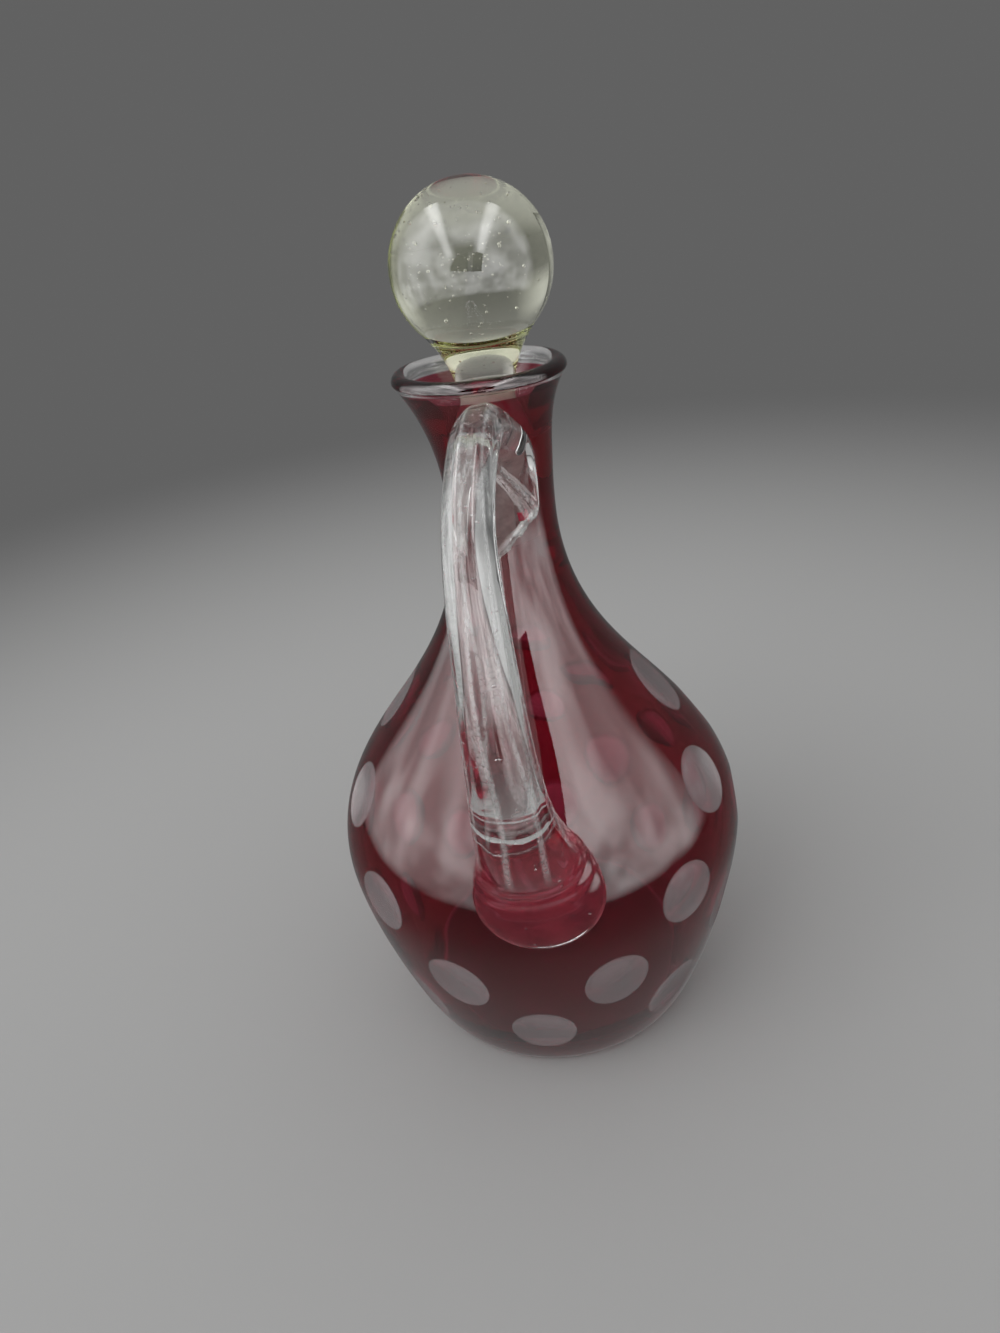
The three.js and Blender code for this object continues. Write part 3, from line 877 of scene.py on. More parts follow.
def seed_tree():
    """Geometry nodes that scatter small bubbles under a piece's surface and keep those inside its glass."""
    tree, given, made = new_tree("Seeds", [
        ("Density", "Float", 3000.0), ("Depth", "Float", 0.01), ("Size", "Float", 0.0003), ("Seed", "Int", 1),
        ("Air", "Material", None),
    ])
    piece = given["Geometry"]
    scatter = node(tree, "GeometryNodeDistributePointsOnFaces", {
        "Mesh": piece, "Density": given["Density"], "Seed": given["Seed"],
    }).outputs
    depth = maths(tree, "MULTIPLY", some_of(tree, given["Depth"], LEAST_DEPTH, DEPTH_SEED), -1.0)
    inwards = node(tree, "ShaderNodeVectorMath", {0: scatter["Normal"], "Scale": depth}, operation="SCALE")
    sunk = node(tree, "GeometryNodeSetPosition", {
        "Geometry": scatter["Points"], "Offset": inwards.outputs[0],
    }).outputs[0]
    bubble = node(tree, "GeometryNodeMeshIcoSphere", {"Radius": 1.0, "Subdivisions": 2}).outputs["Mesh"]
    copies = node(tree, "GeometryNodeInstanceOnPoints", {
        "Points": in_glass(tree, piece, sunk, scatter["Normal"], given["Size"]), "Instance": bubble,
        "Scale": some_of(tree, given["Size"], LEAST_SIZE, SIZE_SEED),
    }).outputs[0]
    solid = node(tree, "GeometryNodeRealizeInstances", {"Geometry": copies}).outputs[0]
    inside_out = node(tree, "GeometryNodeFlipFaces", {"Mesh": solid}).outputs[0]
    smooth = node(tree, "GeometryNodeSetShadeSmooth", {"Geometry": inside_out}).outputs[0]
    air = node(tree, "GeometryNodeSetMaterial", {"Geometry": smooth, "Material": given["Air"]}).outputs[0]
    both = node(tree, "GeometryNodeJoinGeometry", {0: piece})
    tree.links.new(air, both.inputs[0])
    tree.links.new(both.outputs[0], made["Geometry"])
    return tree


def trap_seeds(thing, **settings):
    """Adds bubbles to a piece."""
    tree = bpy.data.node_groups.get("Seeds") or seed_tree()
    modifier = thing.modifiers.new("Seeds", "NODES")
    modifier.node_group = tree
    for name, value in settings.items():
        modifier[socket(tree, name)] = value
    return plain(thing)


def trap_pocket(thing, shaded_hollow, centre, sizes):
    """Adds one long pocket of air to a piece, lined with the given glass; on the handle that glass is nearly
    black, a painted shade for the crevice between fold and neck.
    """
    verts, faces = ball()
    pocket = new_mesh("pocket", np.array(centre) + np.array(verts, float) * sizes, faces)
    pocket.flip_normals()
    thing.data.materials.append(shaded_hollow)
    both = bmesh.new()
    both.from_mesh(thing.data)
    first = len(both.faces)
    both.from_mesh(pocket)
    both.faces.ensure_lookup_table()
    for face in both.faces[first:]:
        face.material_index = thing.data.materials.find(shaded_hollow.name)
    both.to_mesh(thing.data)
    both.free()
    bpy.data.meshes.remove(pocket)


# The applied handle

SAMPLES, AT_ONCE = 480, 20000
LAST_SAMPLE = SAMPLES - 1.001
VOXEL = 0.5
SETTLE_ROUNDS, RELAX_ROUNDS, LAST_ROUNDS = 4, 4, 3
LEAST_SLOPE, LONGEST_MOVE = 0.25, 0.5


def through(stations, shares):
    """Points at shares of the way along a centripetal Catmull-Rom curve through stations."""
    points = np.array(stations, float)
    points = np.vstack([2 * points[0] - points[1], points, 2 * points[-1] - points[-2]])
    spans = np.sqrt(np.linalg.norm(np.diff(points, axis=0), axis=1))
    where = shares * (len(stations) - 1)
    first = np.minimum(where.astype(int), len(stations) - 2)
    t = (where - first)[:, None]
    p0, p1, p2, p3 = (points[first + k] for k in range(4))
    d0, d1, d2 = (spans[first + k][:, None] for k in range(3))
    d1 = np.where(d1 < TINY, 1, d1)
    d0, d2 = np.where(d0 < TINY, d1, d0), np.where(d2 < TINY, d1, d2)
    t1 = ((p1 - p0) / d0 - (p2 - p0) / (d0 + d1) + (p2 - p1) / d1) * d1
    t2 = ((p2 - p1) / d1 - (p3 - p1) / (d1 + d2) + (p3 - p2) / d2) * d1
    return p1 + t * t1 + t**2 * (3 * (p2 - p1) - 2 * t1 - t2) + t**3 * (2 * (p1 - p2) + t1 + t2)


def smooth_min(a, b, width):
    """The smaller of two distances, blended where they are nearly alike."""
    blend = np.maximum(width - np.abs(a - b), 0) / width
    return np.minimum(a, b) - blend * blend * width / 4


def bell(x, width):
    """A smooth hump of height 1 round zero."""
    return np.exp(-((x / width) ** 2))


def ramp(x, low, high):
    """A smooth rise from 0 at low to 1 at high."""
    t = np.clip((x - low) / (high - low), 0, 1)
    return t * t * (3 - 2 * t)


class HandleForm:
    """The applied handle as a distance: a drawn rod with a folded and sheared end, on a pressed pad."""

    ROD_SIDE, FOLD_SIDE, PAD_SIDE = -1.8, 3.6, 2.4
    FOLD_HALF_WIDTH, FOLD_HALF_THICKNESS, TIP_SHARE, SHEAR = 6.8, 3.6, 0.7, 0.7
    FOLD_BELOW_RIM, FOLD_LENGTH = 15, 19
    FOOT_SIDE, FOOT_RISE, FOOT_STANDOFF = -0.7, 15.5, 18.2
    ROOT_RISE, ROOT_SINK, ROOT_WIDENING = 7, -13.4, 0.78
    PAD_POWER, PAD_SKEW, PAD_BLEND = 2.15, 0.36, 5.5
    RISING_REACH, RISING_DROP, ARCH_REACH = 24.7, 2, 38
    FALLING_SHARE, FALLING_DROP, MIDDLE_SHARE, MIDDLE_SIDE = 0.88, 13, 0.576, 0.4
    TIP_SLANT, TIP_DROP, TIP_BLEND = 1.05, 4.3, 1.8
    FOOT_STATION = 6.93
    LOFT_SIDES, LOFT_STEP = 32, 4

    # Height, waves across, waves outwards and start of the sheared edge's raggedness
    RAGGED = ((0.3, 1.7, 0, 1), (0.16, 4.1, 2, 0))

    # Height, count round the rod, start and twist of the streaks, and their share that shows everywhere
    STREAKS = ((0.10, 5, 0.4, 0.012), (0.07, 9, 2.0, -0.016), (0.05, 2, 1.0, 0.03))
    STREAKS_EVERYWHERE, STREAKS_WHERE_DRAWN, DRAWN = 0.35, 0.65, (22, 40)
    SWELL_HEIGHT, SWELL_LENGTH, SWELL_START = 0.12, 11, 0.6
    CREASE_HEIGHT, CREASE_SPACING, CREASE_SPREAD = 0.27, 3.4, 4.6

    # How far across the fold its ridge lies, by the way from the tip, and how much of that is square to it
    RIDGE_RUN = (0, 3, 6, 9, 12, 15, 17, 22)
    RIDGE_ACROSS = (7.2, 6.6, 5.2, 3.4, 1.4, -0.6, -1.6, -2.2)
    RIDGE_SQUARE = 0.83
    RIDGE_HEIGHT, RIDGE_SPREAD = 1.3, 0.6
    GROOVE_DEPTH, GROOVE_OFF, GROOVE_SPREAD = 1.2, 1.6, 0.95
    WRINKLE_HEIGHT, WRINKLE_OFF, WRINKLE_SPREAD, WRINKLE_WAVES, WRINKLE_SLANT = 0.07, 1.9, 1.2, 7.5, 0.5
    BULGE_HEIGHT, BULGE_OFF, BULGE_SPREAD = 0.35, 3.2, 2.0
    FLAT_DEPTH, FLAT_OFF, FLAT_TO = 0.5, (2.6, 4.5), (8, 14)

    # Where the fold's form fades: to its inner side, from its tip and into the rod, and where its painted
    # highlights end
    FOLD_OUTER, FOLD_FROM, FOLD_TO, WORN_TO = (0, 0.5), (1.5, 4), (17, 22), (14, 20)

    # Matt white on the tip, the ridge, the wrinkles and the rod's lines, and where those lines lie: rough
    # wear with a painted highlight on the sheared tip, painted highlights on the rest
    TIP_WEAR, TIP_SPREAD, RIDGE_WEAR_SPREAD, WRINKLE_WEAR, WRINKLE_WEAR_WAVES = 1.2, 1.1, 0.5, 0.3, 5
    LINE_WEAR, LINE_COUNT, LINE_EDGE, LINE_WOBBLE, LINE_WOBBLE_LENGTH = 0.46, 7, (0.72, 1.0), 0.8, 9
    LINES_FROM, LINES_BEFORE_FOOT = (20, 30), (14, 4)

    def __init__(self, sizes, outline):
        self.sizes, self.outline = sizes, outline
        self.pad_centre, self.pad_normal = outline.place(sizes.pad_height / MM)
        self.pad_centre = self.pad_centre + (self.PAD_SIDE, 0, 0)
        self.pad_up = np.cross((1.0, 0, 0), self.pad_normal)
        self.pad_up *= np.sign(self.pad_up[2])
        centres, sections = zip(*self.stations())
        shares = np.linspace(0, 1, SAMPLES)
        self.centres = through(centres, shares)
        self.along = unit(np.gradient(self.centres, axis=0))
        self.out = unit(np.cross(self.along, (1.0, 0, 0)))
        steps = np.linalg.norm(np.diff(self.centres, axis=0), axis=1)
        self.run = np.concatenate([[0], np.cumsum(steps)])
        self.foot_run = self.run[int(SAMPLES * self.FOOT_STATION / (len(centres) - 1))]
        self.table = np.hstack([
            self.centres, self.along, self.out, through(sections, shares)[:, :2], self.run[:, None],
        ])

    def off_body(self, rise, standoff):
        """Reach and height of a place off the body's surface, above the pad's middle."""
        point, normal = self.outline.place(self.sizes.pad_height / MM + rise)
        place = point + normal * standoff
        return place[1], place[2]

    def stations(self):
        """Centres of the rod's rings from the fold's tip to the root; half width, half thickness, shear."""
        s, line = self.sizes, self.outline
        fold = line.rim - self.FOLD_BELOW_RIM
        tip = fold - self.FOLD_LENGTH
        top = line.rim - s.arch_below_rim / MM
        pad = s.pad_height / MM
        reach = s.reach / MM
        thin, middle, thick = (v / MM for v in (s.top_radius, s.middle_radius, s.bottom_radius))
        wide = s.pad_half_width / MM * self.ROOT_WIDENING
        on_neck = self.FOLD_HALF_THICKNESS / 2
        return [
            ((self.FOLD_SIDE, -line.radius(tip) - on_neck, tip),
             (self.FOLD_HALF_WIDTH, self.FOLD_HALF_THICKNESS * self.TIP_SHARE, -self.SHEAR)),
            ((self.FOLD_SIDE, -line.radius(fold) - on_neck, fold),
             (self.FOLD_HALF_WIDTH, self.FOLD_HALF_THICKNESS, 0)),
            ((self.FOLD_SIDE / 2, -self.RISING_REACH, top - self.RISING_DROP), (thin, thin, 0)),
            ((0, -self.ARCH_REACH, top), (thin, thin, 0)),
            ((self.ROD_SIDE, -self.FALLING_SHARE * reach, top - self.FALLING_DROP), (thin, thin, 0)),
            ((self.ROD_SIDE + self.MIDDLE_SIDE, -reach, pad + self.MIDDLE_SHARE * (top - pad)),
             (middle, middle, 0)),
            ((self.FOOT_SIDE, *self.off_body(self.FOOT_RISE, self.FOOT_STANDOFF)), (thick, thick, 0)),
            ((self.PAD_SIDE / 2, *self.off_body(self.ROOT_RISE, 0)), (wide, thick, 0)),
            ((self.PAD_SIDE, *self.off_body(0, self.ROOT_SINK)), (wide, s.pad_thickness / MM, 0)),
        ]

    def nearest(self, points):
        """The nearest sample of the centre line to each point."""
        squares = (self.centres**2).sum(1) / 2
        parts = np.array_split(points, 1 + len(points) // AT_ONCE)
        return np.concatenate([(squares - part @ self.centres.T).argmin(1) for part in parts])

    def beside(self, points, nearest):
        """Where points lie beside the rod: across, outwards, half width, half thickness and run."""
        centre, along = self.centres[nearest], self.along[nearest]
        step = self.run[-1] / (SAMPLES - 1)
        spacing = np.gradient(self.run)[nearest]
        where = nearest + ((points - centre) * along).sum(1) / np.maximum(spacing, step / 4)
        beyond = (where < 0) * ((points - self.centres[0]) * self.along[0]).sum(1)
        where = np.clip(where, 0, LAST_SAMPLE)
        first = where.astype(int)
        share = (where - first)[:, None]
        row = self.table[first] * (1 - share) + self.table[first + 1] * share
        local = points - row[:, :3]
        along, out = unit(row[:, 3:6]), unit(row[:, 6:9])
        across = np.cross(out, along)
        u, v = (local * across).sum(1), (local * out).sum(1)
        sign = np.where(across[:, 0] < 0, -1, 1)
        return u * sign, v, row[:, 9], row[:, 10], row[:, 11] + beyond

    def rod(self, points, nearest):
        """Distance from the rod, with the streaks of its drawing and the creases of its fold."""
        u, v, width, thickness, run = self.beside(points, nearest)
        grows = self.tongue(u, v, thickness, run) + self.streaks(u / width, v / thickness, run)
        k0 = np.hypot(u / width, v / thickness)
        k1 = np.hypot(u / width**2, v / thickness**2)
        side = k0 * (k0 - 1) / np.maximum(k1, TINY) - grows
        ragged = sum(height * np.sin(across * u + out * v + start)
                     for height, across, out, start in self.RAGGED)
        tip = (self.TIP_SLANT * u - self.TIP_DROP - run + ragged) / math.hypot(1, self.TIP_SLANT)
        return -smooth_min(-side, -tip, self.TIP_BLEND)

    def streaks(self, u, v, run):
        """Lengthwise waves left by drawing the rod out, fading towards the fold."""
        angle = np.arctan2(v, u)
        drawn = ramp(run, *self.DRAWN)
        waves = sum(height * np.cos(count * angle + start + twist * run)
                    for height, count, start, twist in self.STREAKS)
        foot = run - self.foot_run
        creases = (self.CREASE_HEIGHT * np.cos(2 * math.pi * foot / self.CREASE_SPACING)
                   * bell(foot, self.CREASE_SPREAD))
        swell = self.SWELL_HEIGHT * np.sin(run / self.SWELL_LENGTH + self.SWELL_START)
        return waves * (self.STREAKS_EVERYWHERE + self.STREAKS_WHERE_DRAWN * drawn) + swell * drawn + creases

    def off_ridge(self, u, run):
        """How far a place on the fold is from its ridge."""
        return (u - np.interp(run, self.RIDGE_RUN, self.RIDGE_ACROSS)) * self.RIDGE_SQUARE

    def worn(self, points):
        """How matt and whitish the glass is, from 0 to 1: rough wear with a painted highlight on the sheared
        edge, and painted highlights along the fold's ridge, its wrinkles and the rod's drawn lines.
        """
        u, v, _, thickness, run = self.beside(points, self.nearest(points))
        tip = (run - self.TIP_SLANT * u + self.TIP_DROP) / math.hypot(1, self.TIP_SLANT)
        outer = ramp(-v / thickness, *self.FOLD_OUTER) * (1 - ramp(run, *self.WORN_TO))
        off = self.off_ridge(u, run)
        waves = np.sin(self.WRINKLE_WEAR_WAVES * (u + self.WRINKLE_SLANT * run)) ** 2
        wrinkles = self.WRINKLE_WEAR * bell(off + self.WRINKLE_OFF, self.WRINKLE_SPREAD) * waves
        fold = outer * (bell(off, self.RIDGE_WEAR_SPREAD) + wrinkles)
        wobble = self.LINE_WOBBLE * np.sin(run / self.LINE_WOBBLE_LENGTH)
        lines = ramp(np.cos(self.LINE_COUNT * np.arctan2(v, u) + wobble), *self.LINE_EDGE)
        end = (self.foot_run - way for way in self.LINES_BEFORE_FOOT)
        drawn = ramp(run, *self.LINES_FROM) * (1 - ramp(run, *end))
        sheared = self.TIP_WEAR * bell(tip, self.TIP_SPREAD)
        return np.clip(sheared + fold + self.LINE_WEAR * lines * drawn, 0, 1)

    def tongue(self, u, v, thickness, run):
        """Ridge, groove and wrinkles on the outer side of the folded end."""
        past_tip = run - self.TIP_SLANT * u + self.TIP_DROP
        outer = ramp(-v / thickness, *self.FOLD_OUTER) * ramp(past_tip, *self.FOLD_FROM)
        outer = outer * (1 - ramp(run, *self.FOLD_TO))
        off = self.off_ridge(u, run)
        ridge = self.RIDGE_HEIGHT * bell(off, self.RIDGE_SPREAD)
        groove = -self.GROOVE_DEPTH * bell(off + self.GROOVE_OFF, self.GROOVE_SPREAD)
        wrinkles = (self.WRINKLE_HEIGHT * np.sin(self.WRINKLE_WAVES * (u + self.WRINKLE_SLANT * run))
                    * bell(off + self.WRINKLE_OFF, self.WRINKLE_SPREAD))
        flat = -self.FLAT_DEPTH * ramp(-off, *self.FLAT_OFF) * (1 - ramp(run, *self.FLAT_TO))
        bulge = self.BULGE_HEIGHT * bell(off - self.BULGE_OFF, self.BULGE_SPREAD)
        return outer * (ridge + groove + wrinkles + flat + bulge)

    def pad(self, points):
        """Distance from the pad: a pressed button with a round edge."""
        s = self.sizes
        local = points - self.pad_centre
        u = local[:, 0] / (s.pad_half_width / MM)
        w = local @ self.pad_up / (s.pad_half_length / MM)
        c = np.abs(local @ self.pad_normal) / (s.pad_thickness / MM * (1 + self.PAD_SKEW * np.clip(w, -1, 1)))
        rho = np.maximum(np.hypot(u, w), TINY)
        power = self.PAD_POWER
        g = np.maximum((rho**power + c**power) ** (1 / power), TINY)
        flat = np.hypot(u / (s.pad_half_width / MM), w / (s.pad_half_length / MM)) / rho
        flat = flat * (rho / g) ** (power - 1)
        steep = (c / g) ** (power - 1) / (s.pad_thickness / MM)
        return (g - 1) / np.hypot(flat, steep)

    def distance(self, points, nearest):
        """Distance from the whole handle."""
        return smooth_min(self.rod(points, nearest), self.pad(points), self.PAD_BLEND)

    def slope(self, points, step=0.02):
        """Distance and its slope at points."""
        nearest = self.nearest(points)
        here = self.distance(points, nearest)
        ahead = [self.distance(points + axis * step, nearest) for axis in np.eye(3)]
        return here, np.column_stack([(value - here) / step for value in ahead])

    def normals(self, points):
        """Outward normals on the handle."""
        return unit(self.slope(points)[1])

    def settle(self, points, rounds):
        """Points moved onto the handle's surface."""
        for _ in range(rounds):
            here, slope = self.slope(points)
            size = np.maximum((slope**2).sum(1), LEAST_SLOPE)
            points = points - slope * np.clip(here / size, -LONGEST_MOVE, LONGEST_MOVE)[:, None]
        return points

    def loft(self):
        """A rough closed mesh of the rod."""
        sides = self.LOFT_SIDES
        turn = np.linspace(0, 2 * math.pi, sides, endpoint=False)
        rings = []
        for k in range(0, SAMPLES, self.LOFT_STEP):
            width, thickness = self.table[k, 9:11]
            tip = max(0, 1 - self.run[k] / self.FOLD_LENGTH)
            x = width * np.cos(turn)[:, None]
            rings.append(self.centres[k] + x * (1.0, 0, 0) + thickness * np.sin(turn)[:, None] * self.out[k]
                         + tip * (self.TIP_SLANT * x - self.TIP_DROP) * self.along[k])
        verts = np.vstack(rings)
        faces = [
            (r * sides + i, r * sides + (i + 1) % sides,
             (r + 1) * sides + (i + 1) % sides, (r + 1) * sides + i)
            for r in range(len(rings) - 1) for i in range(sides)
        ]
        last = (len(rings) - 1) * sides
        faces += [tuple(range(sides))[::-1], tuple(range(last, last + sides))]
        return verts, faces

    def button(self):
        """A rough closed mesh of the pad."""
        s = self.sizes
        verts, faces = ball()
        x, y, z = np.array(verts, float).T
        scaled = (x * s.pad_half_width / MM, y * s.pad_half_length / MM, z * s.pad_thickness / MM)
        axes = ((1.0, 0, 0), self.pad_up, self.pad_normal)
        return self.pad_centre + sum(np.outer(part, axis) for part, axis in zip(scaled, axes)), faces


def relaxed(points, edges, rounds):
    """Points moved halfway to the mean of their neighbours."""
    count = np.bincount(edges.ravel(), minlength=len(points))[:, None]
    for _ in range(rounds):
        total = np.zeros_like(points)
        for a, b in ((0, 1), (1, 0)):
            np.add.at(total, edges[:, a], points[edges[:, b]])
        points = (points + total / count) / 2
    return points


class CRUET_OT_raw_handle(bpy.types.Operator):
    """Makes the whole form of the handle, before it is seated on the body"""

    bl_idname = "cruet.raw_handle"
    bl_label = "Handle Form"

    def execute(self, context):
        scene = context.scene
        form = HandleForm(scene.cruet_handle, Outline(scene.cruet_body))
        rod, rod_faces = form.loft()
        pad, pad_faces = form.button()
        faces = rod_faces + [tuple(i + len(rod) for i in face) for face in pad_faces]
        rough = new_object(new_mesh(RAW_HANDLE, np.vstack([rod, pad]), faces))
        remesh = rough.modifiers.new("Even", "REMESH")
        remesh.mode = "VOXEL"
        remesh.voxel_size = VOXEL * MM
        plain(rough)
        mesh = rough.data
        edges = np.empty(len(mesh.edges) * 2, int)
        mesh.edges.foreach_get("vertices", edges)
        points = form.settle(positions(mesh), SETTLE_ROUNDS)
        points = form.settle(relaxed(points, edges.reshape(-1, 2), RELAX_ROUNDS), LAST_ROUNDS)
        mesh.vertices.foreach_set("co", (points * MM).ravel())
        mesh.update()
        fused_material()
        return {"FINISHED"}


class CRUET_OT_handle(bpy.types.Operator):
    """Seats the handle on the body and finishes it"""

    bl_idname = "cruet.handle"
    bl_label = "Applied Handle"

    SEEDS = {"Density": 22000.0, "Depth": 0.007, "Size": 0.00032, "Seed": 3}
    # The pocket's glass is nearly black: painted shade for the dark crevice between the fold and the neck
    POCKET, POCKET_SIZE, POCKET_TINT = (7.0, -18.2, 179.6), (1.3, 0.9, 2.7), (0.05, 0.035, 0.035)
    RED_SPOT, RED_SPOT_SIZE, RED_SPOT_OFF_NECK = (6.3, -13.3, 160.5), 1.3, 1.6
    RED_TINT = (0.42, 0.012, 0.045)
    NECK_BELOW_SEAT = 15

    # Lumps in a metre, and the least and the most of each cloud; under the pad it is a painted raspberry glow
    PAD_CLOUD, FOLD_CLOUD, RED_CLOUD = (170, 0.08, 0.42), (400, 0.45, 0.75), (400, 0.7, 0.95)

    def bonded(self, points, outline, on_neck):
        """Where the handle is fused to the neck or to the body."""
        radii, heights = np.hypot(points[:, 0], points[:, 1]), points[:, 2]
        inside = radii < outline.radius(heights) - HANDLE_DEPTH / 2
        return inside & ((heights > outline.seat_bottom - self.NECK_BELOW_SEAT) == on_neck)

    def red_spot(self, points, outline):
        """Where the fold lies so close on the neck that the ruby shows clear and red."""
        near = np.linalg.norm(points - self.RED_SPOT, axis=1) < self.RED_SPOT_SIZE
        off_neck = np.hypot(points[:, 0], points[:, 1]) - outline.radius(points[:, 2])
        return near & (off_neck < self.RED_SPOT_OFF_NECK)

    def paint_bonds(self, mesh, outline, glass):
        """The clouded faces between the handle and the bottle; the raspberry under the pad is a painted glow.
        """
        for name, tint, cloud, chosen in (
            ("pad_bond", glass.raspberry, self.PAD_CLOUD, lambda points: self.bonded(points, outline, False)),
            ("fold_bond", glass.fold, self.FOLD_CLOUD, lambda points: self.bonded(points, outline, True)),
            ("clear_bond", self.RED_TINT, self.RED_CLOUD, lambda points: self.red_spot(points, outline)),
        ):
            mesh.materials.append(cloudy_material(name, tint, *cloud))
            paint(mesh, name, chosen)

    def execute(self, context):
        scene = context.scene
        outline = Outline(scene.cruet_body)
        form = HandleForm(scene.cruet_handle, outline)
        glass = worn_glass("handle_glass", scene.cruet_glass.handle)
        air = glass_material(TRAPPED_AIR, (1, 1, 1))
        shaded_hollow = glass_material("dark_hollow", self.POCKET_TINT)
        handle = bpy.data.objects[RAW_HANDLE]
        handle.name = handle.data.name = "applied_handle"
        handle.data.materials.clear()
        handle.data.materials.append(glass)
        inside = body_space(outline, HANDLE_DEPTH)
        take_away(handle, inside)
        remove(inside)
        self.paint_bonds(handle.data, outline, scene.cruet_glass)
        trap_seeds(handle, **self.SEEDS, Air=air)
        trap_pocket(handle, shaded_hollow, self.POCKET, self.POCKET_SIZE)
        set_normals(handle.data, {glass.name: form.normals, "": None})
        # Painted highlights, and the sheared edge's wear, as an attribute that the handle's glass reads
        worn = handle.data.attributes.new("worn", "FLOAT", "POINT")
        worn.data.foreach_set("value", form.worn(positions(handle.data)))
        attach(handle, "bottle")
        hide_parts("handle")
        return {"FINISHED"}


# The ball stopper


class CRUET_OT_stopper(bpy.types.Operator):
    """Makes the ball stopper: a solid ball drawn down to a waist, and a plug ground to fit its seat"""

    bl_idname = "cruet.stopper"
    bl_label = "Ball Stopper"

    LEAVING = math.radians(-43)
    CHAMFER, HAZE_ABOVE_WAIST = 1, 2.0
    PLUG_PULL, WAIST_PULL_DOWN, WAIST_PULL_UP, BALL_PULL = 3, 4, 6, 5
    LOWER_STEPS, UPPER_STEPS, BALL_STEPS = 20, 24, 72
    BALL_WAVES = 0.02
    SEEDS = {"Density": 45000.0, "Depth": 0.017, "Size": 0.00024, "Seed": 5}

    # Tint, roughness and clearness of the glasses
    LOOKS = {
        "stopper_glass": ((0.99, 0.99, 0.98), 0.0, 1.0),
        "ground_plug": ((0.93, 0.94, 0.86), 0.35, 0.3),
        "waist_glass": ((0.97, 0.975, 0.90), 0.2, 0.6),
    }

    def profile(self, sizes, outline):
        """The plug's foot, the plug, the waist and the ball, as one line."""
        plug = outline.seat_top_radius - sizes.clearance / MM
        foot = outline.seat_bottom_radius - sizes.clearance / MM
        waist, height = sizes.waist_radius / MM, outline.rim - sizes.waist_below_rim / MM
        ball_radius = sizes.ball_radius / MM
        middle = BALL_TOP / MM - ball_radius
        x, y = math.cos(self.LEAVING), math.sin(self.LEAVING)
        start = np.array((ball_radius * x, middle + ball_radius * y))
        ground = [(0, outline.seat_bottom), (foot - self.CHAMFER, outline.seat_bottom),
                  (foot, outline.seat_bottom + self.CHAMFER)]
        below, _ = bezier(((plug, outline.seat_top), (plug, outline.seat_top + self.PLUG_PULL),
                           (waist, height - self.WAIST_PULL_DOWN), (waist, height)), self.LOWER_STEPS)
        above, _ = bezier(((waist, height), (waist, height + self.WAIST_PULL_UP),
                           start + (y * self.BALL_PULL, -x * self.BALL_PULL), start), self.UPPER_STEPS)
        turn = np.linspace(self.LEAVING, math.pi / 2, self.BALL_STEPS)[1:-1]
        arc = np.column_stack([ball_radius * np.cos(turn), middle + ball_radius * np.sin(turn)])
        return np.vstack([ground, below, above[1:], arc, [(0, middle + ball_radius)]])

    def normals(self, points, line):
        """Outward normals on the waist and the ball."""
        return turned(points, *line_normals(line[2:], points[:, 2]))

    def execute(self, context):
        scene = context.scene
        outline = Outline(scene.cruet_body)
        line = self.profile(scene.cruet_stopper, outline)
        tinted = (scene.cruet_glass.stopper, 10 * MM)
        glass, ground, haze = (
            glass_material(name, *look, through=tinted) for name, look in self.LOOKS.items()
        )
        stopper = new_object(new_mesh("ball_stopper", *lathe(line, SEGMENTS), [glass, ground, haze]))
        top = outline.rim - scene.cruet_stopper.waist_below_rim / MM + self.HAZE_ABOVE_WAIST
        paint(stopper.data, haze.name, lambda points: points[:, 2] < top)
        paint(stopper.data, ground.name, lambda points: points[:, 2] < outline.seat_top)
        trap_seeds(stopper, **self.SEEDS, Air=bpy.data.materials[TRAPPED_AIR])
        set_normals(stopper.data, {
            haze.name: lambda points: self.normals(points, line),
            glass.name: lambda points: hand_blown(points, self.normals(points, line), self.BALL_WAVES),
            "": None,
        })
        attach(stopper, "stopper")
        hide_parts("stopper")
        return {"FINISHED"}


# Stage

FLOOR_TINT, FLOOR_ROUGHNESS = (0.45, 0.45, 0.448), 0.8
FLOOR_RADIUS, FLOOR_SEGMENTS, FLOOR_HEIGHT, FADE_FROM, FADE_TO = 8, 96, -0.0002, 0.2, 0.75
KEY_SIZE, KEY_RADIANCE, KEY_PLACE = 1.3, 1.7, (-0.9, -0.8, 1.3)

# Levels of the backdrop as the glass shows it, from straight down to straight up, and its brighter sides
FILL, SIDES = 0.62, 0.4
ROOM_BELOW, ROOM_LEVEL = ((0.0, 0.28), (0.2, 0.16)), 0.35
ROOM_ABOVE = ((0.5, 0.13), (0.6, 0.15), (0.75, 0.2), (0.9, 0.34))
SIDES_UP, SIDES_ASIDE = ((0.50, 0), (0.60, 1), (0.68, 1), (0.8, 0)), ((0.45, 0), (0.8, 1))

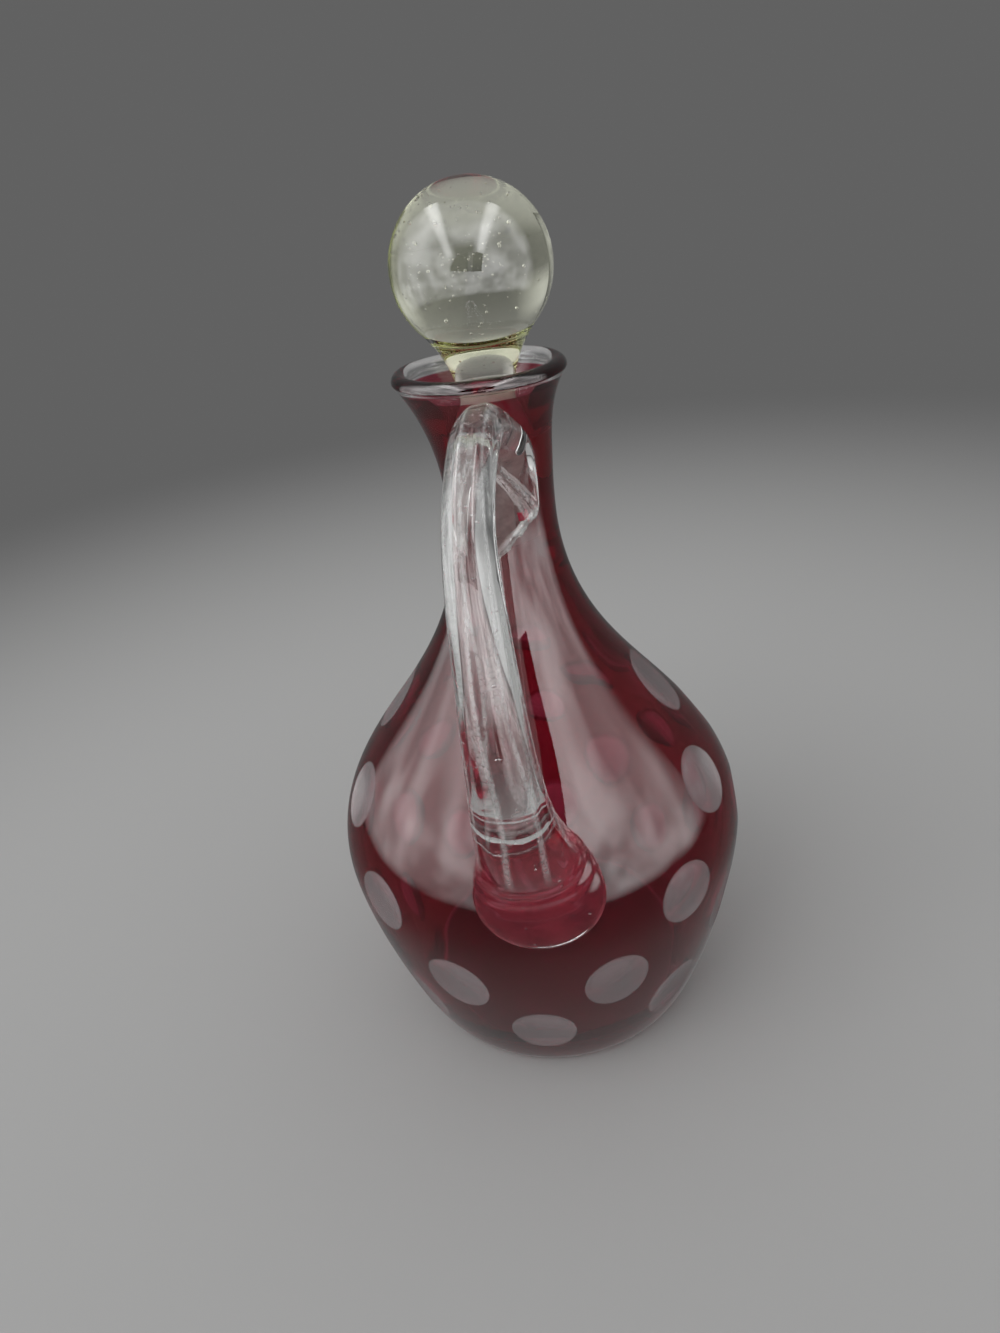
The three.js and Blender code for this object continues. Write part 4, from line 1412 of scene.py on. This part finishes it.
# The tent's form in millimetres and degrees, and its levels round, upwards, and by the way off its middle
TENT_RADIUS, TENT_FROM, TENT_TO, TENT_STEPS, TENT_ROWS = 370, -118, 98, 54, 20
TENT_RADIANCE, TENT_THROUGH_GLASS = 4.5, 0.3
TENT_ROUND = (
    (0.17, 0.0), (0.23, 0.75), (0.31, 1.0), (0.38, 0.8), (0.45, 1.0), (0.56, 0.85), (0.60, 1.0), (0.66, 0.75),
    (0.72, 0.9), (0.77, 0.1),
)
TENT_UP = ((0.0, 0), (0.12, 0.66), (0.4, 1), (0.95, 1), (1.0, 0.25))
TENT_CLOUD, TENT_CLOUD_LEVELS = (9, 1.5), (0.36, 0.64, 0.5, 1.25)
TENT_ASIDE = 0.2
STRIPS, STRIPS_UP, STRIPS_ASIDE = 1.1, ((0.78, 0), (0.84, 1)), ((0.28, 0), (0.35, 1), (0.43, 1), (0.52, 0))
PATCH_UP, PATCH_ASIDE = ((0.62, 0), (0.68, 1), (0.86, 1), (0.93, 0)), ((0.2, 0.9), (0.27, 0))

# The card's edges across and upwards and its way behind the lens, in metres, and its two papers
CARD_ACROSS, CARD_UP, CARD_BEHIND = (-0.12, -0.01, 0.015, 0.065), (-0.03, 0.29), 0.012
CARD_PAPERS = (("dark_card", 0.03), ("light_strip", 0.7))


def place_camera(stage):
    """The camera at the photographed height, tilt and roll."""
    data = bpy.data.cameras.new("camera")
    data.lens = stage.lens
    data.sensor_width = 36
    data.clip_start, data.clip_end = 0.01, 50
    camera = bpy.data.objects.new("camera", data)
    camera.matrix_world = (
        Matrix.Translation(stage.camera)
        @ Matrix.Rotation(stage.heading, 4, "Z")
        @ Matrix.Rotation(stage.tilt, 4, "X")
        @ Matrix.Rotation(stage.roll, 4, "Z")
    )
    bpy.context.scene.collection.objects.link(camera)
    bpy.context.scene.camera = camera


def floor(pale):
    """A pale round floor that fades into the backdrop far behind the cruet."""
    material, tree, out = new_material("pale_floor")
    near = node(tree, "ShaderNodeBsdfPrincipled", {
        "Base Color": (*FLOOR_TINT, 1), "Roughness": FLOOR_ROUGHNESS, "Specular IOR Level": 0.0,
    }).outputs[0]
    far = node(tree, "ShaderNodeEmission", {"Color": (pale, pale, pale, 1)}).outputs[0]
    away = node(tree, "ShaderNodeVectorMath", {0: coordinates(tree)}, operation="LENGTH").outputs["Value"]
    fade = node(tree, "ShaderNodeMapRange", {
        "Value": away, "From Min": FADE_FROM, "From Max": FADE_TO,
    }, interpolation_type="SMOOTHSTEP").outputs[0]
    tree.links.new(mixed(tree, fade, near, far), out["Surface"])
    mesh = bpy.data.meshes.new("floor")
    shape = bmesh.new()
    bmesh.ops.create_circle(shape, cap_ends=True, segments=FLOOR_SEGMENTS, radius=FLOOR_RADIUS)
    bmesh.ops.translate(shape, verts=shape.verts, vec=(0, 0, FLOOR_HEIGHT))
    shape.to_mesh(mesh)
    shape.free()
    mesh.materials.append(material)
    ground = new_object(mesh)
    ground.visible_glossy = False


def tent_light(tree):
    """The tent's strength: cloudy bands with a dark patch, and two strips that the glass mirrors."""
    place = node(tree, "ShaderNodeSeparateXYZ", {0: coordinates(tree)}).outputs
    through_glass = node(tree, "ShaderNodeLightPath").outputs["Is Transmission Ray"]
    turn = maths(tree, "ARCTAN2", place["X"], maths(tree, "MULTIPLY", place["Y"], -1.0))
    bands = colours(tree, maths(tree, "MULTIPLY_ADD", turn, 0.5 / math.pi, 0.5), TENT_ROUND)
    height = maths(tree, "DIVIDE", place["Z"], TENT_RADIUS * MM)
    aside = maths(tree, "DIVIDE", maths(tree, "ABSOLUTE", place["X"]), TENT_ASIDE)
    strips = maths(tree, "MULTIPLY", colours(tree, aside, STRIPS_ASIDE), colours(tree, height, STRIPS_UP))
    patch = maths(tree, "MULTIPLY", colours(tree, aside, PATCH_ASIDE), colours(tree, height, PATCH_UP))
    level = maths(tree, "MULTIPLY", bands, colours(tree, height, TENT_UP))
    cloud = between_levels(tree, noise(tree, *TENT_CLOUD), *TENT_CLOUD_LEVELS)
    level = maths(tree, "MULTIPLY", level, cloud)
    level = maths(tree, "MULTIPLY", level, maths(tree, "SUBTRACT", 1.0, patch))
    mirrored = maths(tree, "MULTIPLY", strips, maths(tree, "SUBTRACT", 1.0, through_glass))
    level = maths(tree, "MULTIPLY_ADD", mirrored, STRIPS, level)
    shown = maths(tree, "MULTIPLY_ADD", through_glass, TENT_THROUGH_GLASS - 1, 1.0)
    return maths(tree, "MULTIPLY", level, maths(tree, "MULTIPLY", shown, TENT_RADIANCE))


def light_tent():
    """A soft white tent on the camera's side, which lights the cruet and shines back from its body."""
    turns = np.radians(np.linspace(TENT_FROM, TENT_TO, TENT_STEPS + 1))
    rises = np.radians(np.linspace(0, 90, TENT_ROWS + 1))
    verts = [
        (TENT_RADIUS * math.cos(e) * math.sin(a), -TENT_RADIUS * math.cos(e) * math.cos(a),
         TENT_RADIUS * math.sin(e))
        for e in rises for a in turns
    ]
    wide = TENT_STEPS + 1
    faces = [(r * wide + i, r * wide + i + 1, (r + 1) * wide + i + 1, (r + 1) * wide + i)
             for r in range(TENT_ROWS) for i in range(TENT_STEPS)]
    material, tree, out = new_material("light_tent")
    glow = node(tree, "ShaderNodeEmission", {"Strength": tent_light(tree)})
    tree.links.new(glow.outputs[0], out["Surface"])
    tent = new_object(new_mesh("light_tent", verts, faces, [material]))
    tent.visible_camera = False
    tent.visible_diffuse = False
    tent.visible_shadow = False


def room(pale):
    """A pale backdrop for the camera, another one for the glass, and a dim fill."""
    world = bpy.data.worlds.new("room")
    bpy.context.scene.world = world
    world.use_nodes = True
    tree = world.node_tree
    tree.nodes.clear()
    out = node(tree, "ShaderNodeOutputWorld").inputs
    way = node(tree, "ShaderNodeSeparateXYZ", {0: coordinates(tree, "Generated")}).outputs
    rays = node(tree, "ShaderNodeLightPath").outputs
    height = maths(tree, "MULTIPLY_ADD", way["Z"], 0.5, 0.5)
    aside = maths(tree, "ABSOLUTE", way["X"])
    level = colours(tree, height, (*ROOM_BELOW, (ROOM_LEVEL, pale), *ROOM_ABOVE))
    sides = maths(tree, "MULTIPLY", colours(tree, height, SIDES_UP), colours(tree, aside, SIDES_ASIDE))
    sides = maths(tree, "MULTIPLY", sides, rays["Is Transmission Ray"])
    level = maths(tree, "MULTIPLY_ADD", sides, SIDES, level)
    by_glass, by_camera, fill = (
        node(tree, "ShaderNodeBackground", {"Color": light}).outputs[0]
        for light in (level, (pale, pale, pale, 1), (FILL, FILL, FILL, 1))
    )
    seen = mixed(tree, rays["Is Camera Ray"], by_glass, by_camera)
    tree.links.new(mixed(tree, rays["Is Diffuse Ray"], seen, fill), out["Surface"])


def key_lamp():
    """A large softbox to the left of the camera, which gives the floor its soft shadow."""
    data = bpy.data.lights.new("key", "AREA")
    data.shape = "RECTANGLE"
    data.size = data.size_y = KEY_SIZE
    data.energy = KEY_RADIANCE * math.pi * KEY_SIZE**2
    lamp = bpy.data.objects.new("key", data)
    place = Vector(KEY_PLACE)
    lamp.matrix_world = Matrix.Translation(place) @ (-place).to_track_quat("-Z", "Y").to_matrix().to_4x4()
    lamp.visible_camera = False
    lamp.visible_glossy = False
    lamp.visible_transmission = False
    bpy.context.scene.collection.objects.link(lamp)


def dark_card():
    """A dark card round the lens with a lighter strip, which the ball and the body mirror."""
    place = bpy.context.scene.camera.matrix_world
    mesh = bpy.data.meshes.new("dark_card")
    corners = [place @ Vector((x, y, CARD_BEHIND)) for y in CARD_UP for x in CARD_ACROSS]
    mesh.from_pydata(corners, [], [(i, i + 1, i + 5, i + 4) for i in range(3)])
    for name, level in CARD_PAPERS:
        material, tree, out = new_material(name)
        paper = node(tree, "ShaderNodeEmission", {"Strength": level})
        tree.links.new(paper.outputs[0], out["Surface"])
        mesh.materials.append(material)
    mesh.polygons[1].material_index = 1
    card = new_object(mesh)
    card.visible_camera = False
    card.visible_transmission = False
    card.visible_diffuse = False
    card.visible_shadow = False


class CRUET_OT_stage(bpy.types.Operator):
    """Makes the camera, the floor, the room and the light"""

    bl_idname = "cruet.stage"
    bl_label = "Stage"

    def execute(self, context):
        scene = context.scene
        scene.view_settings.view_transform = "Standard"
        scene.cycles.max_bounces = 32
        scene.cycles.transmission_bounces = 32
        scene.cycles.glossy_bounces = 12
        scene.cycles.transparent_max_bounces = 64
        pale = scene.cruet_stage.pale
        place_camera(scene.cruet_stage)
        floor(pale)
        room(pale)
        key_lamp()
        light_tent()
        dark_card()
        return {"FINISHED"}


class CRUET_PT_panel(bpy.types.Panel):
    """Lists the pieces of the cruet"""

    bl_label = "Cruet"
    bl_space_type = "VIEW_3D"
    bl_region_type = "UI"
    bl_category = "Cruet"

    def draw(self, context):
        for operator in STEPS:
            self.layout.operator(operator.bl_idname)


SETTINGS = {
    "cruet_body": CruetBody,
    "cruet_cuts": CruetCuts,
    "cruet_handle": CruetHandle,
    "cruet_stopper": CruetStopper,
    "cruet_glass": CruetGlass,
    "cruet_stage": CruetStage,
}
STEPS = (
    CRUET_OT_stage, CRUET_OT_raw_handle, CRUET_OT_bottle, CRUET_OT_overlay, CRUET_OT_handle, CRUET_OT_stopper,
)


def register():
    """Registers the classes and puts their settings on the scene."""
    for kind in (*SETTINGS.values(), *STEPS, CRUET_PT_panel):
        bpy.utils.register_class(kind)
    for name, kind in SETTINGS.items():
        setattr(bpy.types.Scene, name, PointerProperty(type=kind))


def unregister():
    """Takes the settings and the classes away again."""
    for name in SETTINGS:
        delattr(bpy.types.Scene, name)
    for kind in reversed((*SETTINGS.values(), *STEPS, CRUET_PT_panel)):
        bpy.utils.unregister_class(kind)


def main():
    """Makes the stage and the cruet."""
    register()
    bpy.ops.cruet.stage()
    bpy.ops.cruet.raw_handle()
    bpy.ops.cruet.bottle()
    bpy.ops.cruet.overlay()
    bpy.ops.cruet.handle()
    bpy.ops.cruet.stopper()


if __name__ == "__main__":
    main()
